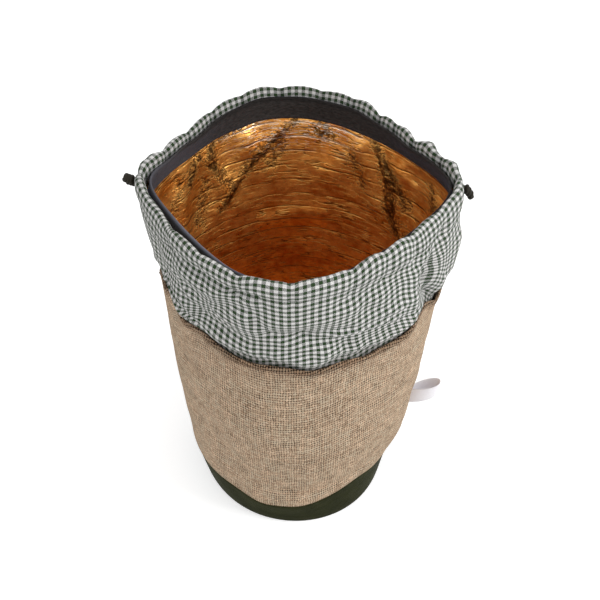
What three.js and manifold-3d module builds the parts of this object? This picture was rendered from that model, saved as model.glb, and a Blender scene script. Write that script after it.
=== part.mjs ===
// A potato storage bag, standing open: a jute body on a round canvas base, a gingham collar whose
// top edge is a casing for the drawcord, a felt facing inside the rim, a foil lining and a tape loop.
// Millimetres, +Z up, front towards -Y, origin at the centre of the base, on the surface it stands on.
import * as THREE from "three";
import { mergeVertices } from "three/addons/utils/BufferGeometryUtils.js";
import Module from "manifold-3d";

// Heights of the seams and edges, measured up the cloth at the sides of the bag.
const SEAM = 56; // jute on canvas
const JUTE_EDGE = 283; // folded top edge of the jute
const RIM = 398; // top of the collar, where the casing starts to roll over
const FACING_TOP = RIM - 5;
const FACING_BOTTOM = RIM - 27;
const LINING_TOP = RIM - 22; // behind the facing

// Thickness of each cloth, and the space between two cloths that lie on each other.
const CANVAS = 1.8;
const JUTE = 1.5;
const COTTON = 1.4;
const FELT = 2.4;
const FOIL = 2.0;
const GAP = 0.4;

// The drawcord, and the casing it runs in.
const CORD_DIAMETER = 4;
const CASING_DEPTH = 8.2;
const CASING_SEAM = RIM - 18;
const CORD_LEVEL = RIM - 7;
const CORD_INSET = CASING_DEPTH / 2;
const HOLE_DIAMETER = CORD_DIAMETER + 1;

// The loop of tape in the side seam.
const TAPE = { azimuth: 87, level: 103, width: 24, reach: 35, thickness: 0.9, bow: 7 };
const TAPE_RISE = 0.4; // of the loop above the level, for each millimetre out from the seam
const TAPE_LEAN = 0.15; // of its root with the wall of the bag, for each millimetre up
const TAPE_CLEARANCE = 1.5; // from the outside of the jute
const TAPE_ROOT = 0.8; // half the space between its two ends

const SEGMENTS = 48; // steps round the bag
const CORNERS = [90, 270]; // azimuths of the two points of the mouth, front 0, right 90
const POINT_WIDTH = 13; // degrees
const FOLD_RADIUS = 125; // a fold's azimuths count as lengths on this radius

const COLOURS = {
  canvas: "#2d3322",
  jute: "#b79f84",
  gingham: "#8d9a90",
  felt: "#48454a",
  foil: "#c88a3a",
  cord: "#2a2512",
  tape: "#f1eff0",
};

const table = (columns, rows) =>
  rows.map((row) => Object.fromEntries(columns.map((column, i) => [column, row[i]])));

const FOLD_COLUMNS = ["azimuth", "level", "toAzimuth", "toLevel", "width", "depth"];

const COMPASS = ["front", "frontRight", "right", "backRight", "back", "backLeft", "left", "frontLeft"];

// The outside of the bag: radii round each hoop. lift raises the back over the front, lean raises the
// right over the left, and point draws the hoop out at the corners of the mouth.
const HOOPS = table(["level", ...COMPASS, "lift", "lean", "point"], [
  [0, 110, 109, 105, 108, 110, 112, 110, 109, 0, 0, 0],
  [12, 112, 111, 107, 111, 113, 115, 113, 112, 0, 0, 0],
  [SEAM, 117, 115, 117, 118, 118, 119, 120.5, 117.5, 1, 3, 0],
  [107, 119, 124, 131, 124, 119, 121, 124.5, 121, 2, 0, 0],
  [180, 121, 128, 138, 127, 121, 122, 129, 123, 6, 0, 0],
  [JUTE_EDGE, 119, 127, 145, 129, 123, 124, 134, 122, 6, 0, 0],
  [337, 121, 126, 153, 130, 128, 127, 136, 125, 13, 2, 2],
  [374, 126, 124, 149, 131, 137, 130, 136, 124, 13, 0, 6],
  [RIM, 127, 122, 142, 131, 143, 131, 131, 124, 14, 0, 12],
]);

// Soft folds in the collar, from one point to another: depth is negative for a trough.
const COLLAR_FOLDS = table(FOLD_COLUMNS, [
  [-12, 376, -14.5, 350, 8, -3.2], // the crease left of the middle
  [-14.5, 350, -10, 340, 8, -2],
  [-10, 333, 4, 329, 9, -3.5], // hollow across the front
  [4, 329, 24, 308, 9, -3.5],
  [24, 306, 42, 304, 9, -3],
  [-48, 374, -20, 354, 9, 3.5], // long soft buckle
  [-42, 336, -24, 316, 10, -2.5],
  [70, 378, 63, 352, 7, -4], // deep fold before the right corner
  [63, 352, 62, 335, 8, -6],
  [62, 335, 68, 298, 8, -8],
  [83, 348, 81, 316, 9, 4.5], // lobe behind it
  [38, 352, 46, 324, 12, 2],
  [20, 367, 58, 366, 7, -2.5],
  [-70, 360, -66, 326, 10, -3],
  [-66, 306, -46, 296, 9, 4], // where it bulges over the jute
  [12, 298, 4, 294, 12, 2.5],
  [-11, 292, -13, 304, 8, -2],
  [30, 298, 50, 300, 9, 3],
  [150, 360, 160, 315, 14, -3],
  [205, 360, 195, 315, 14, -3],
  [240, 360, 244, 315, 12, -3],
]);

// Drags and hollows in the jute.
const JUTE_FOLDS = table(FOLD_COLUMNS, [
  [84, 128, 92, 100, 16, -3],
  [-30, 200, 20, 120, 34, 2],
  [40, 230, 70, 150, 26, -2],
  [-60, 220, -40, 120, 26, -2],
  [150, 220, 170, 110, 40, -3],
  [215, 230, 200, 120, 40, -3],
]);

// Crumples in the lining: depth is positive away from the wall, into the bag.
const LINING_FOLDS = table(FOLD_COLUMNS, [
  [226, 352, 212, 286, 10, 3],
  [203, 356, 214, 316, 9, 2.5],
  [125, 350, 120, 276, 10, 3.5],
  [146, 350, 136, 300, 9, 2.5],
  [246, 340, 250, 262, 10, 4],
  [104, 340, 102, 262, 10, 4],
  [165, 268, 196, 262, 11, 4],
]);

// Where an edge or a seam dips or is drawn in. reach is how far up and down the cloth it shows.
const DIPS = table(["azimuth", "width", "level", "reach", "drop", "pull"], [
  [90, 13, RIM, 30, -1, 0],
  [270, 12, RIM, 26, -7, 0],
  [-31, 6, RIM, 30, 3, 2],
  [42, 9, RIM, 30, -2, -1],
  [118, 8, RIM, 30, 2, 2],
  [150, 9, RIM, 30, -2, -1],
  [196, 8, RIM, 30, -2, 0],
  [232, 9, RIM, 30, 2, 2],
  [64, 7, RIM, 30, 2, 2],
  [-62, 8, RIM, 30, -2, -1],
  [9, 8, JUTE_EDGE, 18, 5, 0],
  [-46, 11, JUTE_EDGE, 26, -16, 0],
  [-75, 13, JUTE_EDGE, 55, -34, 3],
  [-62, 4.5, JUTE_EDGE, 40, -24, 0],
  [84, 8, JUTE_EDGE, 30, -3, -2],
  [66, 7, JUTE_EDGE, 28, -17, 3],
  [-19, 10, SEAM, 30, 9, 0],
  [0, 16, SEAM, 30, 12, 0],
  [36, 12, SEAM, 30, -6, 0],
]);

const radians = THREE.MathUtils.degToRad;

// Shortest turn from one azimuth to another, in degrees.
function turn(from, to) {
  return THREE.MathUtils.euclideanModulo(to - from + 180, 360) - 180;
}

const bell = (distance, width) => Math.exp(-((distance / width) ** 2));

// Every column of the hoops at one height, on a smooth curve through the rows.
function hoopAt(level) {
  const last = HOOPS.length - 2;
  const above = HOOPS.findIndex((row) => row.level > level);
  const k = above < 0 ? last : Math.min(Math.max(above - 1, 0), last);
  const [low, high] = [HOOPS[k], HOOPS[k + 1]];
  const [before, after] = [HOOPS[Math.max(k - 1, 0)], HOOPS[Math.min(k + 2, last + 1)]];
  const span = high.level - low.level;
  const t = (level - low.level) / span;
  const at = {};
  for (const column of Object.keys(low)) {
    const rise = ((high[column] - before[column]) / (high.level - before.level)) * span;
    const fall = ((after[column] - low[column]) / (after.level - low.level)) * span;
    const step = high[column] - low[column];
    at[column] = low[column] + t * (rise + t * (3 * step - 2 * rise - fall + t * (rise + fall - 2 * step)));
  }
  return at;
}

// A smooth closed curve through the eight radii of a hoop, drawn out at the corners.
function radiusAt(hoop, azimuth) {
  const count = COMPASS.length;
  const around = radians(azimuth);
  let radius = 0;
  for (let wave = 0; wave <= count / 2; wave++) {
    const share = wave === 0 || wave === count / 2 ? 1 / count : 2 / count;
    COMPASS.forEach((side, i) => {
      radius += share * hoop[side] * Math.cos(wave * (around - (i * 2 * Math.PI) / count));
    });
  }
  for (const corner of CORNERS) radius += hoop.point * bell(turn(corner, azimuth), POINT_WIDTH);
  return radius;
}

// How far a set of folds moves the cloth at one place.
function foldsAt(folds, azimuth, level) {
  let sum = 0;
  for (const fold of folds) {
    const x = radians(turn(fold.azimuth, azimuth)) * FOLD_RADIUS;
    const y = level - fold.level;
    const toX = radians(turn(fold.azimuth, fold.toAzimuth)) * FOLD_RADIUS;
    const toY = fold.toLevel - fold.level;
    const along = THREE.MathUtils.clamp((x * toX + y * toY) / (toX * toX + toY * toY), 0, 1);
    sum += fold.depth * bell(Math.hypot(x - along * toX, y - along * toY), fold.width);
  }
  return sum;
}

// A point of the cloth: inset is measured inwards from the outside of the bag.
function clothPoint(azimuth, level, inset) {
  const onHoops = Math.min(level, RIM);
  const hoop = hoopAt(onHoops);
  let radius = radiusAt(hoop, azimuth) - inset;
  let z = level - hoop.lift * Math.cos(radians(azimuth)) + hoop.lean * Math.sin(radians(azimuth));
  const standing = Math.min(level / SEAM, 1);
  for (const dip of DIPS) {
    const around = bell(turn(dip.azimuth, azimuth), dip.width);
    const near = around * bell(onHoops - dip.level, dip.reach) * standing;
    radius -= dip.pull * near;
    z -= dip.drop * near;
  }
  radius += foldsAt(COLLAR_FOLDS, azimuth, level);
  radius += foldsAt(JUTE_FOLDS, azimuth, level);
  const around = radians(azimuth);
  return new THREE.Vector3(radius * Math.sin(around), -radius * Math.cos(around), z);
}

// A sleeve of cloth that goes all the way round. Its section is a closed row of points, up the outer
// face and down the inner one. away(azimuth, level) moves the cloth further into the bag. Each quad is
// split the same way on every face, so that neighbouring sheets stay parallel.
function sleeve(section, away = () => 0) {
  const vertices = [];
  const faces = [];
  for (let i = 0; i < SEGMENTS; i++) {
    const azimuth = (i * 360) / SEGMENTS;
    for (const [level, inset] of section) {
      vertices.push(...clothPoint(azimuth, level, inset + away(azimuth, level)).toArray());
    }
  }
  const rows = section.length;
  for (let i = 0; i < SEGMENTS; i++) {
    const here = i * rows;
    const next = ((i + 1) % SEGMENTS) * rows;
    for (let j = 0; j < rows; j++) {
      const up = (j + 1) % rows;
      const [a, b, c, d] = [here + j, next + j, next + up, here + up];
      if (section[up][0] >= section[j][0]) faces.push(a, b, c, a, c, d);
      else faces.push(a, b, d, b, c, d);
    }
  }
  return indexed(vertices, faces);
}

// A flat disc of cloth with the outline of the base.
function disc(bottom, top, inset) {
  const vertices = [0, 0, bottom, 0, 0, top];
  const faces = [];
  for (let i = 0; i < SEGMENTS; i++) {
    const edge = clothPoint((i * 360) / SEGMENTS, 0, inset);
    vertices.push(edge.x, edge.y, bottom, edge.x, edge.y, top);
    const here = 2 + 2 * i;
    const next = 2 + 2 * ((i + 1) % SEGMENTS);
    faces.push(0, next, here, 1, here + 1, next + 1);
    faces.push(here, next, next + 1, here, next + 1, here + 1);
  }
  return indexed(vertices, faces);
}

function indexed(vertices, faces) {
  const geometry = new THREE.BufferGeometry();
  geometry.setAttribute("position", new THREE.Float32BufferAttribute(vertices, 3));
  geometry.setIndex(faces);
  geometry.computeVertexNormals();
  return geometry;
}

// Both faces of a plain sheet: up its outer face and down its inner one.
function sheetSection(rows, thickness) {
  const outer = rows.map((row) => [row.level, row.inset]);
  const inner = rows.map((row) => [row.level, row.inset + thickness]);
  return [...outer, ...inner.reverse()];
}

// A round cord along a curve.
function cordGeometry(curve, diameter, steps) {
  const section = new THREE.Shape();
  section.absarc(0, 0, diameter / 2, 0, 2 * Math.PI);
  const settings = { steps, extrudePath: curve, curveSegments: 4, bevelEnabled: false };
  return new THREE.ExtrudeGeometry(section, settings);
}

const wasm = await Module();
wasm.setup();

function toSolid(geometry) {
  const bare = geometry.clone();
  bare.deleteAttribute("normal");
  bare.deleteAttribute("uv");
  const merged = mergeVertices(bare, 1e-3);
  const vertProperties = merged.attributes.position.array;
  const triVerts = new Uint32Array(merged.index.array);
  return new wasm.Manifold(new wasm.Mesh({ numProp: 3, vertProperties, triVerts }));
}

function toGeometry(solid) {
  const mesh = solid.getMesh();
  return indexed(Array.from(mesh.vertProperties), Array.from(mesh.triVerts));
}

const bag = new THREE.Group();

function add(name, geometry, colour, roughness, metalness = 0) {
  const material = new THREE.MeshStandardMaterial({ color: COLOURS[colour], roughness, metalness });
  const mesh = new THREE.Mesh(geometry, material);
  mesh.name = name;
  bag.add(mesh);
  return mesh;
}

// Canvas base: a flat disc, and a band whose lower edge rounds in beside it. The top of the band
// runs up behind the jute.
const BAND_LAP = 9;
const BAND_ROUND = 3; // how far the lower edge rounds in
const BAND_LEAN = 0.4; // how far the band leans in just above it
const BAND_STRAIGHT = 18; // level where the lean ends
function baseBandSection() {
  const tuck = JUTE + GAP;
  return [
    [0, BAND_ROUND],
    [BAND_ROUND, BAND_LEAN],
    [BAND_STRAIGHT, 0],
    [SEAM - 2, 0],
    [SEAM, tuck],
    [SEAM + BAND_LAP, tuck],
    [SEAM + BAND_LAP, tuck + CANVAS],
    [SEAM - 2, tuck + CANVAS],
    [BAND_STRAIGHT, CANVAS],
    [BAND_ROUND, CANVAS + BAND_LEAN],
    [0, BAND_ROUND + CANVAS],
  ];
}
add("base_disc", disc(0, CANVAS, BAND_ROUND + CANVAS + GAP), "canvas", 0.6);
add("base_band", sleeve(baseBandSection()), "canvas", 0.6);

// Jute body: one sheet whose top edge is folded inside as a hem.
const HEM_DEPTH = 21;
const HEM_SPACE = 0.3; // between the two layers of the hem
const HEM_INSIDE = 2 * JUTE + HEM_SPACE; // inner face of the folded hem
const HEM_ROUND = { down: 2, in: 0.9 }; // the rounded fold at the top
const JUTE_LEVELS = [SEAM + GAP, 80, 107, 142, 180, 230];
function juteSection() {
  const outer = JUTE_LEVELS.map((level) => [level, 0]);
  const inner = JUTE_LEVELS.map((level) => [level, JUTE]).reverse();
  const fold = JUTE_EDGE - HEM_DEPTH;
  const crest = JUTE_EDGE - HEM_ROUND.down;
  return [
    ...outer,
    [crest, 0],
    [JUTE_EDGE, HEM_ROUND.in],
    [JUTE_EDGE, HEM_INSIDE - HEM_ROUND.in],
    [crest, HEM_INSIDE],
    [fold, HEM_INSIDE],
    [fold, JUTE + HEM_SPACE],
    [crest, JUTE + HEM_SPACE],
    [crest, JUTE],
    [fold, JUTE],
    ...inner,
  ];
}
add("jute_body", sleeve(juteSection()), "jute", 0.95);

// Gingham collar: from inside the jute it comes out over the edge and bulges over it, goes up to the
// rim, and rolls over and down the inside as the casing of the drawcord.
const COLLAR_BOTTOM = JUTE_EDGE - 20;
const COLLAR_INSIDE = HEM_INSIDE + GAP;
const COLLAR_OVER_EDGE = 3.2; // inset where it comes over the jute
const COLLAR_BULGE = 2.5; // how far it then stands out over the jute
const BELOW_EDGE = JUTE_EDGE - 3;
const OVER_EDGE = JUTE_EDGE + 3;
const BULGE_LEVEL = JUTE_EDGE + 14;
const WALL_LEVELS = [308, 322, 337, 354, FACING_BOTTOM, LINING_TOP];
const CASING_TAIL = 1.5; // cloth below the casing's seam
const CASING_SLACK = 1.4; // between the casing's two layers at its seam
const CASING_ROUND = 1.6; // how far the two layers draw together at the crest
const CREST = 2; // height of the crest above the rim
const CASING_LOW = RIM - 12;
const CASING_HIGH = RIM - 6;
function collarSection() {
  const wall = table(["level", "inset"], [
    [COLLAR_BOTTOM, COLLAR_INSIDE],
    [BELOW_EDGE, COLLAR_INSIDE],
    [OVER_EDGE, COLLAR_OVER_EDGE],
    [BULGE_LEVEL, -COLLAR_BULGE],
    ...WALL_LEVELS.map((level) => [level, 0]),
    [CASING_LOW + 1, 0],
    [CASING_HIGH, -0.4],
  ]);
  const crest = table(["level", "inset"], [
    [RIM, CASING_ROUND],
    [RIM + CREST, CASING_DEPTH / 2],
    [RIM, CASING_DEPTH - CASING_ROUND],
  ]);
  const seamInset = 2 * COTTON + CASING_SLACK;
  const back = table(["level", "inset"], [
    [CASING_HIGH, CASING_DEPTH + 0.2],
    [CASING_LOW, CASING_DEPTH - 0.7],
    [CASING_SEAM, seamInset],
    [CASING_SEAM - CASING_TAIL, seamInset],
  ]);
  const points = (rows, through) => rows.map((row) => [row.level, row.inset + through]);
  return [
    ...points(wall, 0),
    ...points(crest, 0),
    ...points(back, 0),
    ...points(back, -COTTON).reverse(),
    [RIM + CREST - COTTON, CASING_DEPTH / 2],
    ...points(wall, COTTON).reverse(),
  ];
}

// A point inside the casing, on the cord's own line.
const cordPoint = (azimuth, inset = CORD_INSET) => clothPoint(azimuth, CORD_LEVEL, inset);

// The hole that a cord end comes out of, straight out from the corner.
const HOLE_LENGTH = 16; // right through the outer layer, and no further than the cord
function cornerHole(azimuth) {
  const hole = new THREE.CylinderGeometry(HOLE_DIAMETER / 2, HOLE_DIAMETER / 2, HOLE_LENGTH, 12);
  hole.applyMatrix4(new THREE.Matrix4().makeRotationZ(-Math.PI / 2));
  hole.applyMatrix4(new THREE.Matrix4().makeRotationZ(radians(azimuth - 90)));
  const outside = cordPoint(azimuth, CORD_INSET - HOLE_LENGTH / 2);
  hole.translate(outside.x, outside.y, outside.z);
  return toSolid(hole);
}

let collar = toSolid(sleeve(collarSection()));
for (const corner of CORNERS) collar = collar.subtract(cornerHole(corner));
add("gingham_collar", toGeometry(collar), "gingham", 0.9);

// Felt facing inside the rim. It is stiff, and stands away from the casing at the front left.
function standOff(azimuth, level) {
  const top = THREE.MathUtils.smoothstep(level, FACING_BOTTOM, FACING_TOP);
  return top * (6.5 * bell(turn(-56, azimuth), 32) + 1.5 * bell(turn(60, azimuth), 20));
}
const FACING_INSET = table(["level", "inset"], [
  [FACING_BOTTOM, 5.2],
  [LINING_TOP, 5.4],
  [CASING_LOW + 1, 8.6],
  [FACING_TOP, 9.6],
]);
add("felt_band", sleeve(sheetSection(FACING_INSET, FELT), standOff), "felt", 1);

// Foil lining: a wall that runs up behind the facing, and a round floor.
const LINING_BOTTOM = CANVAS + GAP;
const LINING_AT_HEM = COLLAR_INSIDE + COTTON + GAP;
const LINING_FOOT = 6.2; // inset of its lower edge
const LINING_INSET = table(["level", "inset"], [
  [LINING_BOTTOM, LINING_FOOT],
  [BAND_STRAIGHT, 5],
  [SEAM, 4.6],
  [SEAM + BAND_LAP, 4.6],
  [107, 4.6],
  [180, 4.6],
  [230, 5],
  [JUTE_EDGE - 22, LINING_AT_HEM],
  [BELOW_EDGE, LINING_AT_HEM],
  [OVER_EDGE, LINING_AT_HEM],
  [BULGE_LEVEL, 5],
  [308, 4],
  [322, 3],
  [337, 2.4],
  [354, 2.4],
  [FACING_BOTTOM, 2.4],
  [LINING_TOP, 2.4],
]);
const SEWN_REACH = 14; // how far below the facing the lining is held flat
function crumple(azimuth, level) {
  const loose = bell(Math.max(level - FACING_BOTTOM + SEWN_REACH, 0), SEWN_REACH);
  return Math.max(0, foldsAt(LINING_FOLDS, azimuth, level)) * loose;
}
add("lining_wall", sleeve(sheetSection(LINING_INSET, FOIL), crumple), "foil", 0.35, 0.7);
add("lining_floor", disc(LINING_BOTTOM, LINING_BOTTOM + FOIL, LINING_FOOT + FOIL + GAP), "foil", 0.35, 0.7);

// Drawcord: it runs right round inside the casing, and its two ends meet at the left corner.
const END_GAP = 0.35; // of a step, either side of the corner
function cordRoute() {
  const step = 360 / SEGMENTS;
  const corner = Math.round(CORNERS[1] / step);
  const steps = [END_GAP];
  for (let i = 1; i < SEGMENTS; i++) steps.push(i);
  steps.push(SEGMENTS - END_GAP);
  return new THREE.CatmullRomCurve3(steps.map((i) => cordPoint((corner + i) * step)));
}
add("drawcord", cordGeometry(cordRoute(), CORD_DIAMETER, SEGMENTS + 6), "cord", 0.8);

// A knot outside each corner, on the end of cord that comes out of the hole: a section turned about
// the cord, flattened, whose end sags.
const KNOT_PROFILE = table(["width", "length"], [
  [0.42, 0.14],
  [0.5, 0.42],
  [0.46, 0.72],
  [0.26, 0.95],
]);
function knotGeometry(azimuth, knot) {
  const neck = CORD_DIAMETER / 2 - 0.2;
  const body = KNOT_PROFILE.map((row) => [knot.width * row.width, knot.neck + knot.length * row.length]);
  const outline = [[0, 0], [neck, 0], [neck, knot.neck], ...body, [0, knot.neck + knot.length]];
  const geometry = new THREE.LatheGeometry(outline.map(([x, y]) => new THREE.Vector2(x, y)), 12);
  const place = geometry.attributes.position;
  for (let i = 0; i < place.count; i++) {
    const along = Math.max(place.getY(i) - knot.neck, 0) / knot.length;
    place.setZ(i, place.getZ(i) * knot.flat - knot.droop * along ** 1.5);
  }
  geometry.rotateZ(radians(azimuth - 180));
  const start = cordPoint(azimuth, knot.start);
  return geometry.translate(start.x, start.y, start.z);
}
const RIGHT_KNOT = { start: 1.8, neck: 3.5, width: 10.5, length: 12, flat: 0.9, droop: 11 };
const LEFT_KNOT = { start: 4.1, neck: 5.5, width: 11, length: 9, flat: 0.9, droop: -5 };
add("cord_knot_right", knotGeometry(CORNERS[0], RIGHT_KNOT), "cord", 0.8);
add("cord_knot_left", knotGeometry(CORNERS[1], LEFT_KNOT), "cord", 0.8);

// Loop of tape: both ends go into the side seam, and the fold stands out from it.
// Shares of its reach and bow, from the seam to the fold.
const TAPE_OUTLINE = table(["reach", "bow"], [
  [0.15, 0.5],
  [0.4, 0.95],
  [0.7, 1],
  [0.93, 0.65],
]);
function tapeGeometry() {
  const outline = (inset) => [
    [0, TAPE_ROOT + TAPE.thickness - inset],
    ...TAPE_OUTLINE.map((row) => [TAPE.reach * row.reach, TAPE.bow * row.bow - inset]),
    [TAPE.reach - inset, 0],
  ];
  const mirrored = (rows) => rows.slice(0, -1).map(([x, y]) => [x, -y]).reverse();
  const outer = [...outline(0), ...mirrored(outline(0))];
  const inner = [...outline(TAPE.thickness), ...mirrored(outline(TAPE.thickness))].reverse();
  const shape = new THREE.Shape([...outer, ...inner].map(([x, y]) => new THREE.Vector2(x, y)));
  const geometry = new THREE.ExtrudeGeometry(shape, { depth: TAPE.width, bevelEnabled: false, steps: 1 });
  geometry.translate(0, 0, -TAPE.width / 2);
  geometry.applyMatrix4(new THREE.Matrix4().makeShear(0, TAPE_RISE, 0, 0, TAPE_LEAN, 0));
  geometry.rotateZ(radians(TAPE.azimuth - 90));
  const seam = clothPoint(TAPE.azimuth, TAPE.level, -TAPE_CLEARANCE);
  geometry.translate(seam.x, seam.y, seam.z);
  return geometry;
}
add("loop_tape", tapeGeometry(), "tape", 0.7);

export default bag;
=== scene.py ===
"""A potato storage bag, standing open: hessian on a canvas base, a gingham collar with a drawcord
casing, a felt facing, a gold foil lining and a loop of tape. Lengths are in millimetres until a
mesh is written, in metres. Azimuth 0 is the front, towards -Y, and 90 the right, towards +X."""

import math

import bmesh
import bpy
import numpy as np
from mathutils import Matrix, Vector, noise


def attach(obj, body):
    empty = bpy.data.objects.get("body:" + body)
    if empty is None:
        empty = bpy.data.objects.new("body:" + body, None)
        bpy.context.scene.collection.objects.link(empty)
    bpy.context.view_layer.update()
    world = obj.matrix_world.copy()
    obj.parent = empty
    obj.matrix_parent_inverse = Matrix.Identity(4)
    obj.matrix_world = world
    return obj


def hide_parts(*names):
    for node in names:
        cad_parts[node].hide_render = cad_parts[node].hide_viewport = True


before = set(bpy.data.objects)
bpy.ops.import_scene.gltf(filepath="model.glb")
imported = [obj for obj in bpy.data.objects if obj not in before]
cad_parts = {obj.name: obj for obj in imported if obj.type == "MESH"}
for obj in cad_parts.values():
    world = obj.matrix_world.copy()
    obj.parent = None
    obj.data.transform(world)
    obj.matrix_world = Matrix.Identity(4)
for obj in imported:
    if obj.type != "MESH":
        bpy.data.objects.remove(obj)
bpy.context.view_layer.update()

MM = 0.001


# Camera.

CAMERA_PLACE = (0.006, -0.609, 0.838)
CAMERA_DOWN = 44.1  # degrees below the horizon
CAMERA_LENS = 49.2  # on a sensor 36 wide


def make_camera():
    data = bpy.data.cameras.new("camera")
    data.lens = CAMERA_LENS
    data.sensor_width = 36
    data.clip_start = 0.01
    camera = bpy.data.objects.new("camera", data)
    camera.location = CAMERA_PLACE
    camera.rotation_euler = (math.radians(90 - CAMERA_DOWN), 0, 0)
    bpy.context.scene.collection.objects.link(camera)
    bpy.context.scene.camera = camera


make_camera()


# Heights of the seams and edges, measured up the cloth at the sides of the bag.
SEAM = 56  # hessian on canvas
JUTE_EDGE = 283  # folded top edge of the hessian
HEM_DEPTH = 21  # of the fold, down inside
RIM = 398  # top of the collar
FACING_TOP = RIM - 5
FACING_BOTTOM = RIM - 27
CASING_SEAM = RIM - 18
CORD_LEVEL = RIM - 7
JUTE_GIRTH, LINING_GIRTH = 180, 230  # levels whose girth gives each sleeve its cut width

CORD_DIAMETER = 4
CORD_INSET = 4.1  # of the cord's middle, from the outside of the bag
FOLD_RADIUS = 125  # a fold's azimuths count as lengths on this radius

# Azimuths and turns, in degrees.
SIDE_SEAM = 87  # the join in each sleeve of cloth, where the tape goes in
CORNERS = (90, 270)  # the two points of the mouth
POINT_WIDTH = 13


def table(columns, rows):
    """Rows as dictionaries, by the names of their columns."""
    names = columns.split()
    return [dict(zip(names, row)) for row in rows]


# The outside of the bag: radii round each hoop. lift raises the back over the front, lean raises the
# right over the left, and point draws the hoop out at the corners of the mouth.
HOOPS = table("level front front_right right back_right back back_left left front_left lift lean point", [
    (0, 110, 109, 105, 108, 110, 112, 110, 109, 0, 0, 0),
    (12, 112, 111, 107, 111, 113, 115, 113, 112, 0, 0, 0),
    (SEAM, 117, 115, 117, 118, 118, 119, 120.5, 117.5, 1, 3, 0),
    (107, 119, 124, 131, 124, 119, 121, 124.5, 121, 2, 0, 0),
    (180, 121, 128, 138, 127, 121, 122, 129, 123, 6, 0, 0),
    (JUTE_EDGE, 119, 127, 145, 129, 123, 124, 134, 122, 6, 0, 0),
    (337, 121, 126, 153, 130, 128, 127, 136, 125, 13, 2, 2),
    (374, 126, 124, 149, 131, 137, 130, 136, 124, 13, 0, 6),
    (RIM, 127, 122, 142, 131, 143, 131, 131, 124, 14, 0, 12),
])
COMPASS = 8  # radii in a hoop

FOLD_COLUMNS = "azimuth level to_azimuth to_level width depth"

# Soft folds of the collar, the main ones first: depth is negative for a trough.
COLLAR_FOLDS = table(FOLD_COLUMNS, [
    (-12, 376, -14.5, 350, 8, -3.2),
    (-14.5, 350, -10, 340, 8, -2),
    (-10, 333, 4, 329, 9, -3.5),
    (4, 329, 24, 308, 9, -3.5),
    (24, 306, 42, 304, 9, -3),
    (-48, 374, -20, 354, 9, 3.5),
    (-42, 336, -24, 316, 10, -2.5),
    (70, 378, 63, 352, 7, -4),
    (63, 352, 62, 335, 8, -6),
    (62, 335, 68, 298, 8, -8),
    (83, 348, 81, 316, 9, 4.5),
    (38, 352, 46, 324, 12, 2),
    (20, 367, 58, 366, 7, -2.5),
    (-70, 360, -66, 326, 10, -3),
    (-66, 306, -46, 296, 9, 4),
    (12, 298, 4, 294, 12, 2.5),
    (-11, 292, -13, 304, 8, -2),
    (30, 298, 50, 300, 9, 3),
    (150, 360, 160, 315, 14, -3),
    (205, 360, 195, 315, 14, -3),
    (240, 360, 244, 315, 12, -3),
])

# Drags and hollows in the hessian.
JUTE_FOLDS = table(FOLD_COLUMNS, [
    (84, 128, 92, 100, 16, -3),
    (-30, 200, 20, 120, 34, 2),
    (40, 230, 70, 150, 26, -2),
    (-60, 220, -40, 120, 26, -2),
    (150, 220, 170, 110, 40, -3),
    (215, 230, 200, 120, 40, -3),
])

# Crumples of the lining: depth is positive into the bag.
LINING_FOLDS = table(FOLD_COLUMNS, [
    (226, 352, 212, 286, 10, 3),
    (203, 356, 214, 316, 9, 2.5),
    (125, 350, 120, 276, 10, 3.5),
    (146, 350, 136, 300, 9, 2.5),
    (246, 340, 250, 262, 10, 4),
    (104, 340, 102, 262, 10, 4),
    (165, 268, 196, 262, 11, 4),
])

# Where an edge or a seam dips or is drawn in. reach is how far up and down the cloth it shows.
DIPS = table("azimuth width level reach drop pull", [
    (90, 13, RIM, 30, -1, 0),
    (270, 12, RIM, 26, -7, 0),
    (-31, 6, RIM, 30, 3, 2),
    (42, 9, RIM, 30, -2, -1),
    (118, 8, RIM, 30, 2, 2),
    (150, 9, RIM, 30, -2, -1),
    (196, 8, RIM, 30, -2, 0),
    (232, 9, RIM, 30, 2, 2),
    (64, 7, RIM, 30, 2, 2),
    (-62, 8, RIM, 30, -2, -1),
    (9, 8, JUTE_EDGE, 18, 5, 0),
    (-46, 11, JUTE_EDGE, 26, -16, 0),
    (-75, 13, JUTE_EDGE, 55, -34, 3),
    (-62, 4.5, JUTE_EDGE, 40, -24, 0),
    (84, 8, JUTE_EDGE, 30, -3, -2),
    (66, 7, JUTE_EDGE, 28, -17, 3),
    (-19, 10, SEAM, 30, 9, 0),
    (0, 16, SEAM, 30, 12, 0),
    (36, 12, SEAM, 30, -6, 0),
])


def turn(start, end):
    """Shortest turn from one azimuth to another, in degrees."""
    return (end - start + 180) % 360 - 180


def bell(distance, width):
    return np.exp(-((distance / width) ** 2))


def smooth_step(value, low, high):
    t = np.clip((value - low) / (high - low), 0, 1)
    return t * t * (3 - 2 * t)


def sum_of(rows, column, azimuth):
    """One column of a table, added up at each azimuth, each row within its own width."""
    return sum(row[column] * bell(turn(row["azimuth"], azimuth), row["width"]) for row in rows)


def hoops_at(level):
    """Every column of the hoops at each level, on a smooth curve through the rows."""
    rows = np.array([list(hoop.values()) for hoop in HOOPS], float)
    last = len(rows) - 2
    k = np.clip(np.searchsorted(rows[:, 0], level, side="right") - 1, 0, last)
    low, high = rows[k], rows[k + 1]
    before, after = rows[np.maximum(k - 1, 0)], rows[np.minimum(k + 2, last + 1)]
    span = (high - low)[..., :1]
    t = (level[..., None] - low[..., :1]) / span
    rise = (high - before) / (high - before)[..., :1] * span
    fall = (after - low) / (after - low)[..., :1] * span
    step = high - low
    at = low + t * (rise + t * (3 * step - 2 * rise - fall + t * (rise + fall - 2 * step)))
    return dict(zip(HOOPS[0], np.moveaxis(at, -1, 0)))


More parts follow.
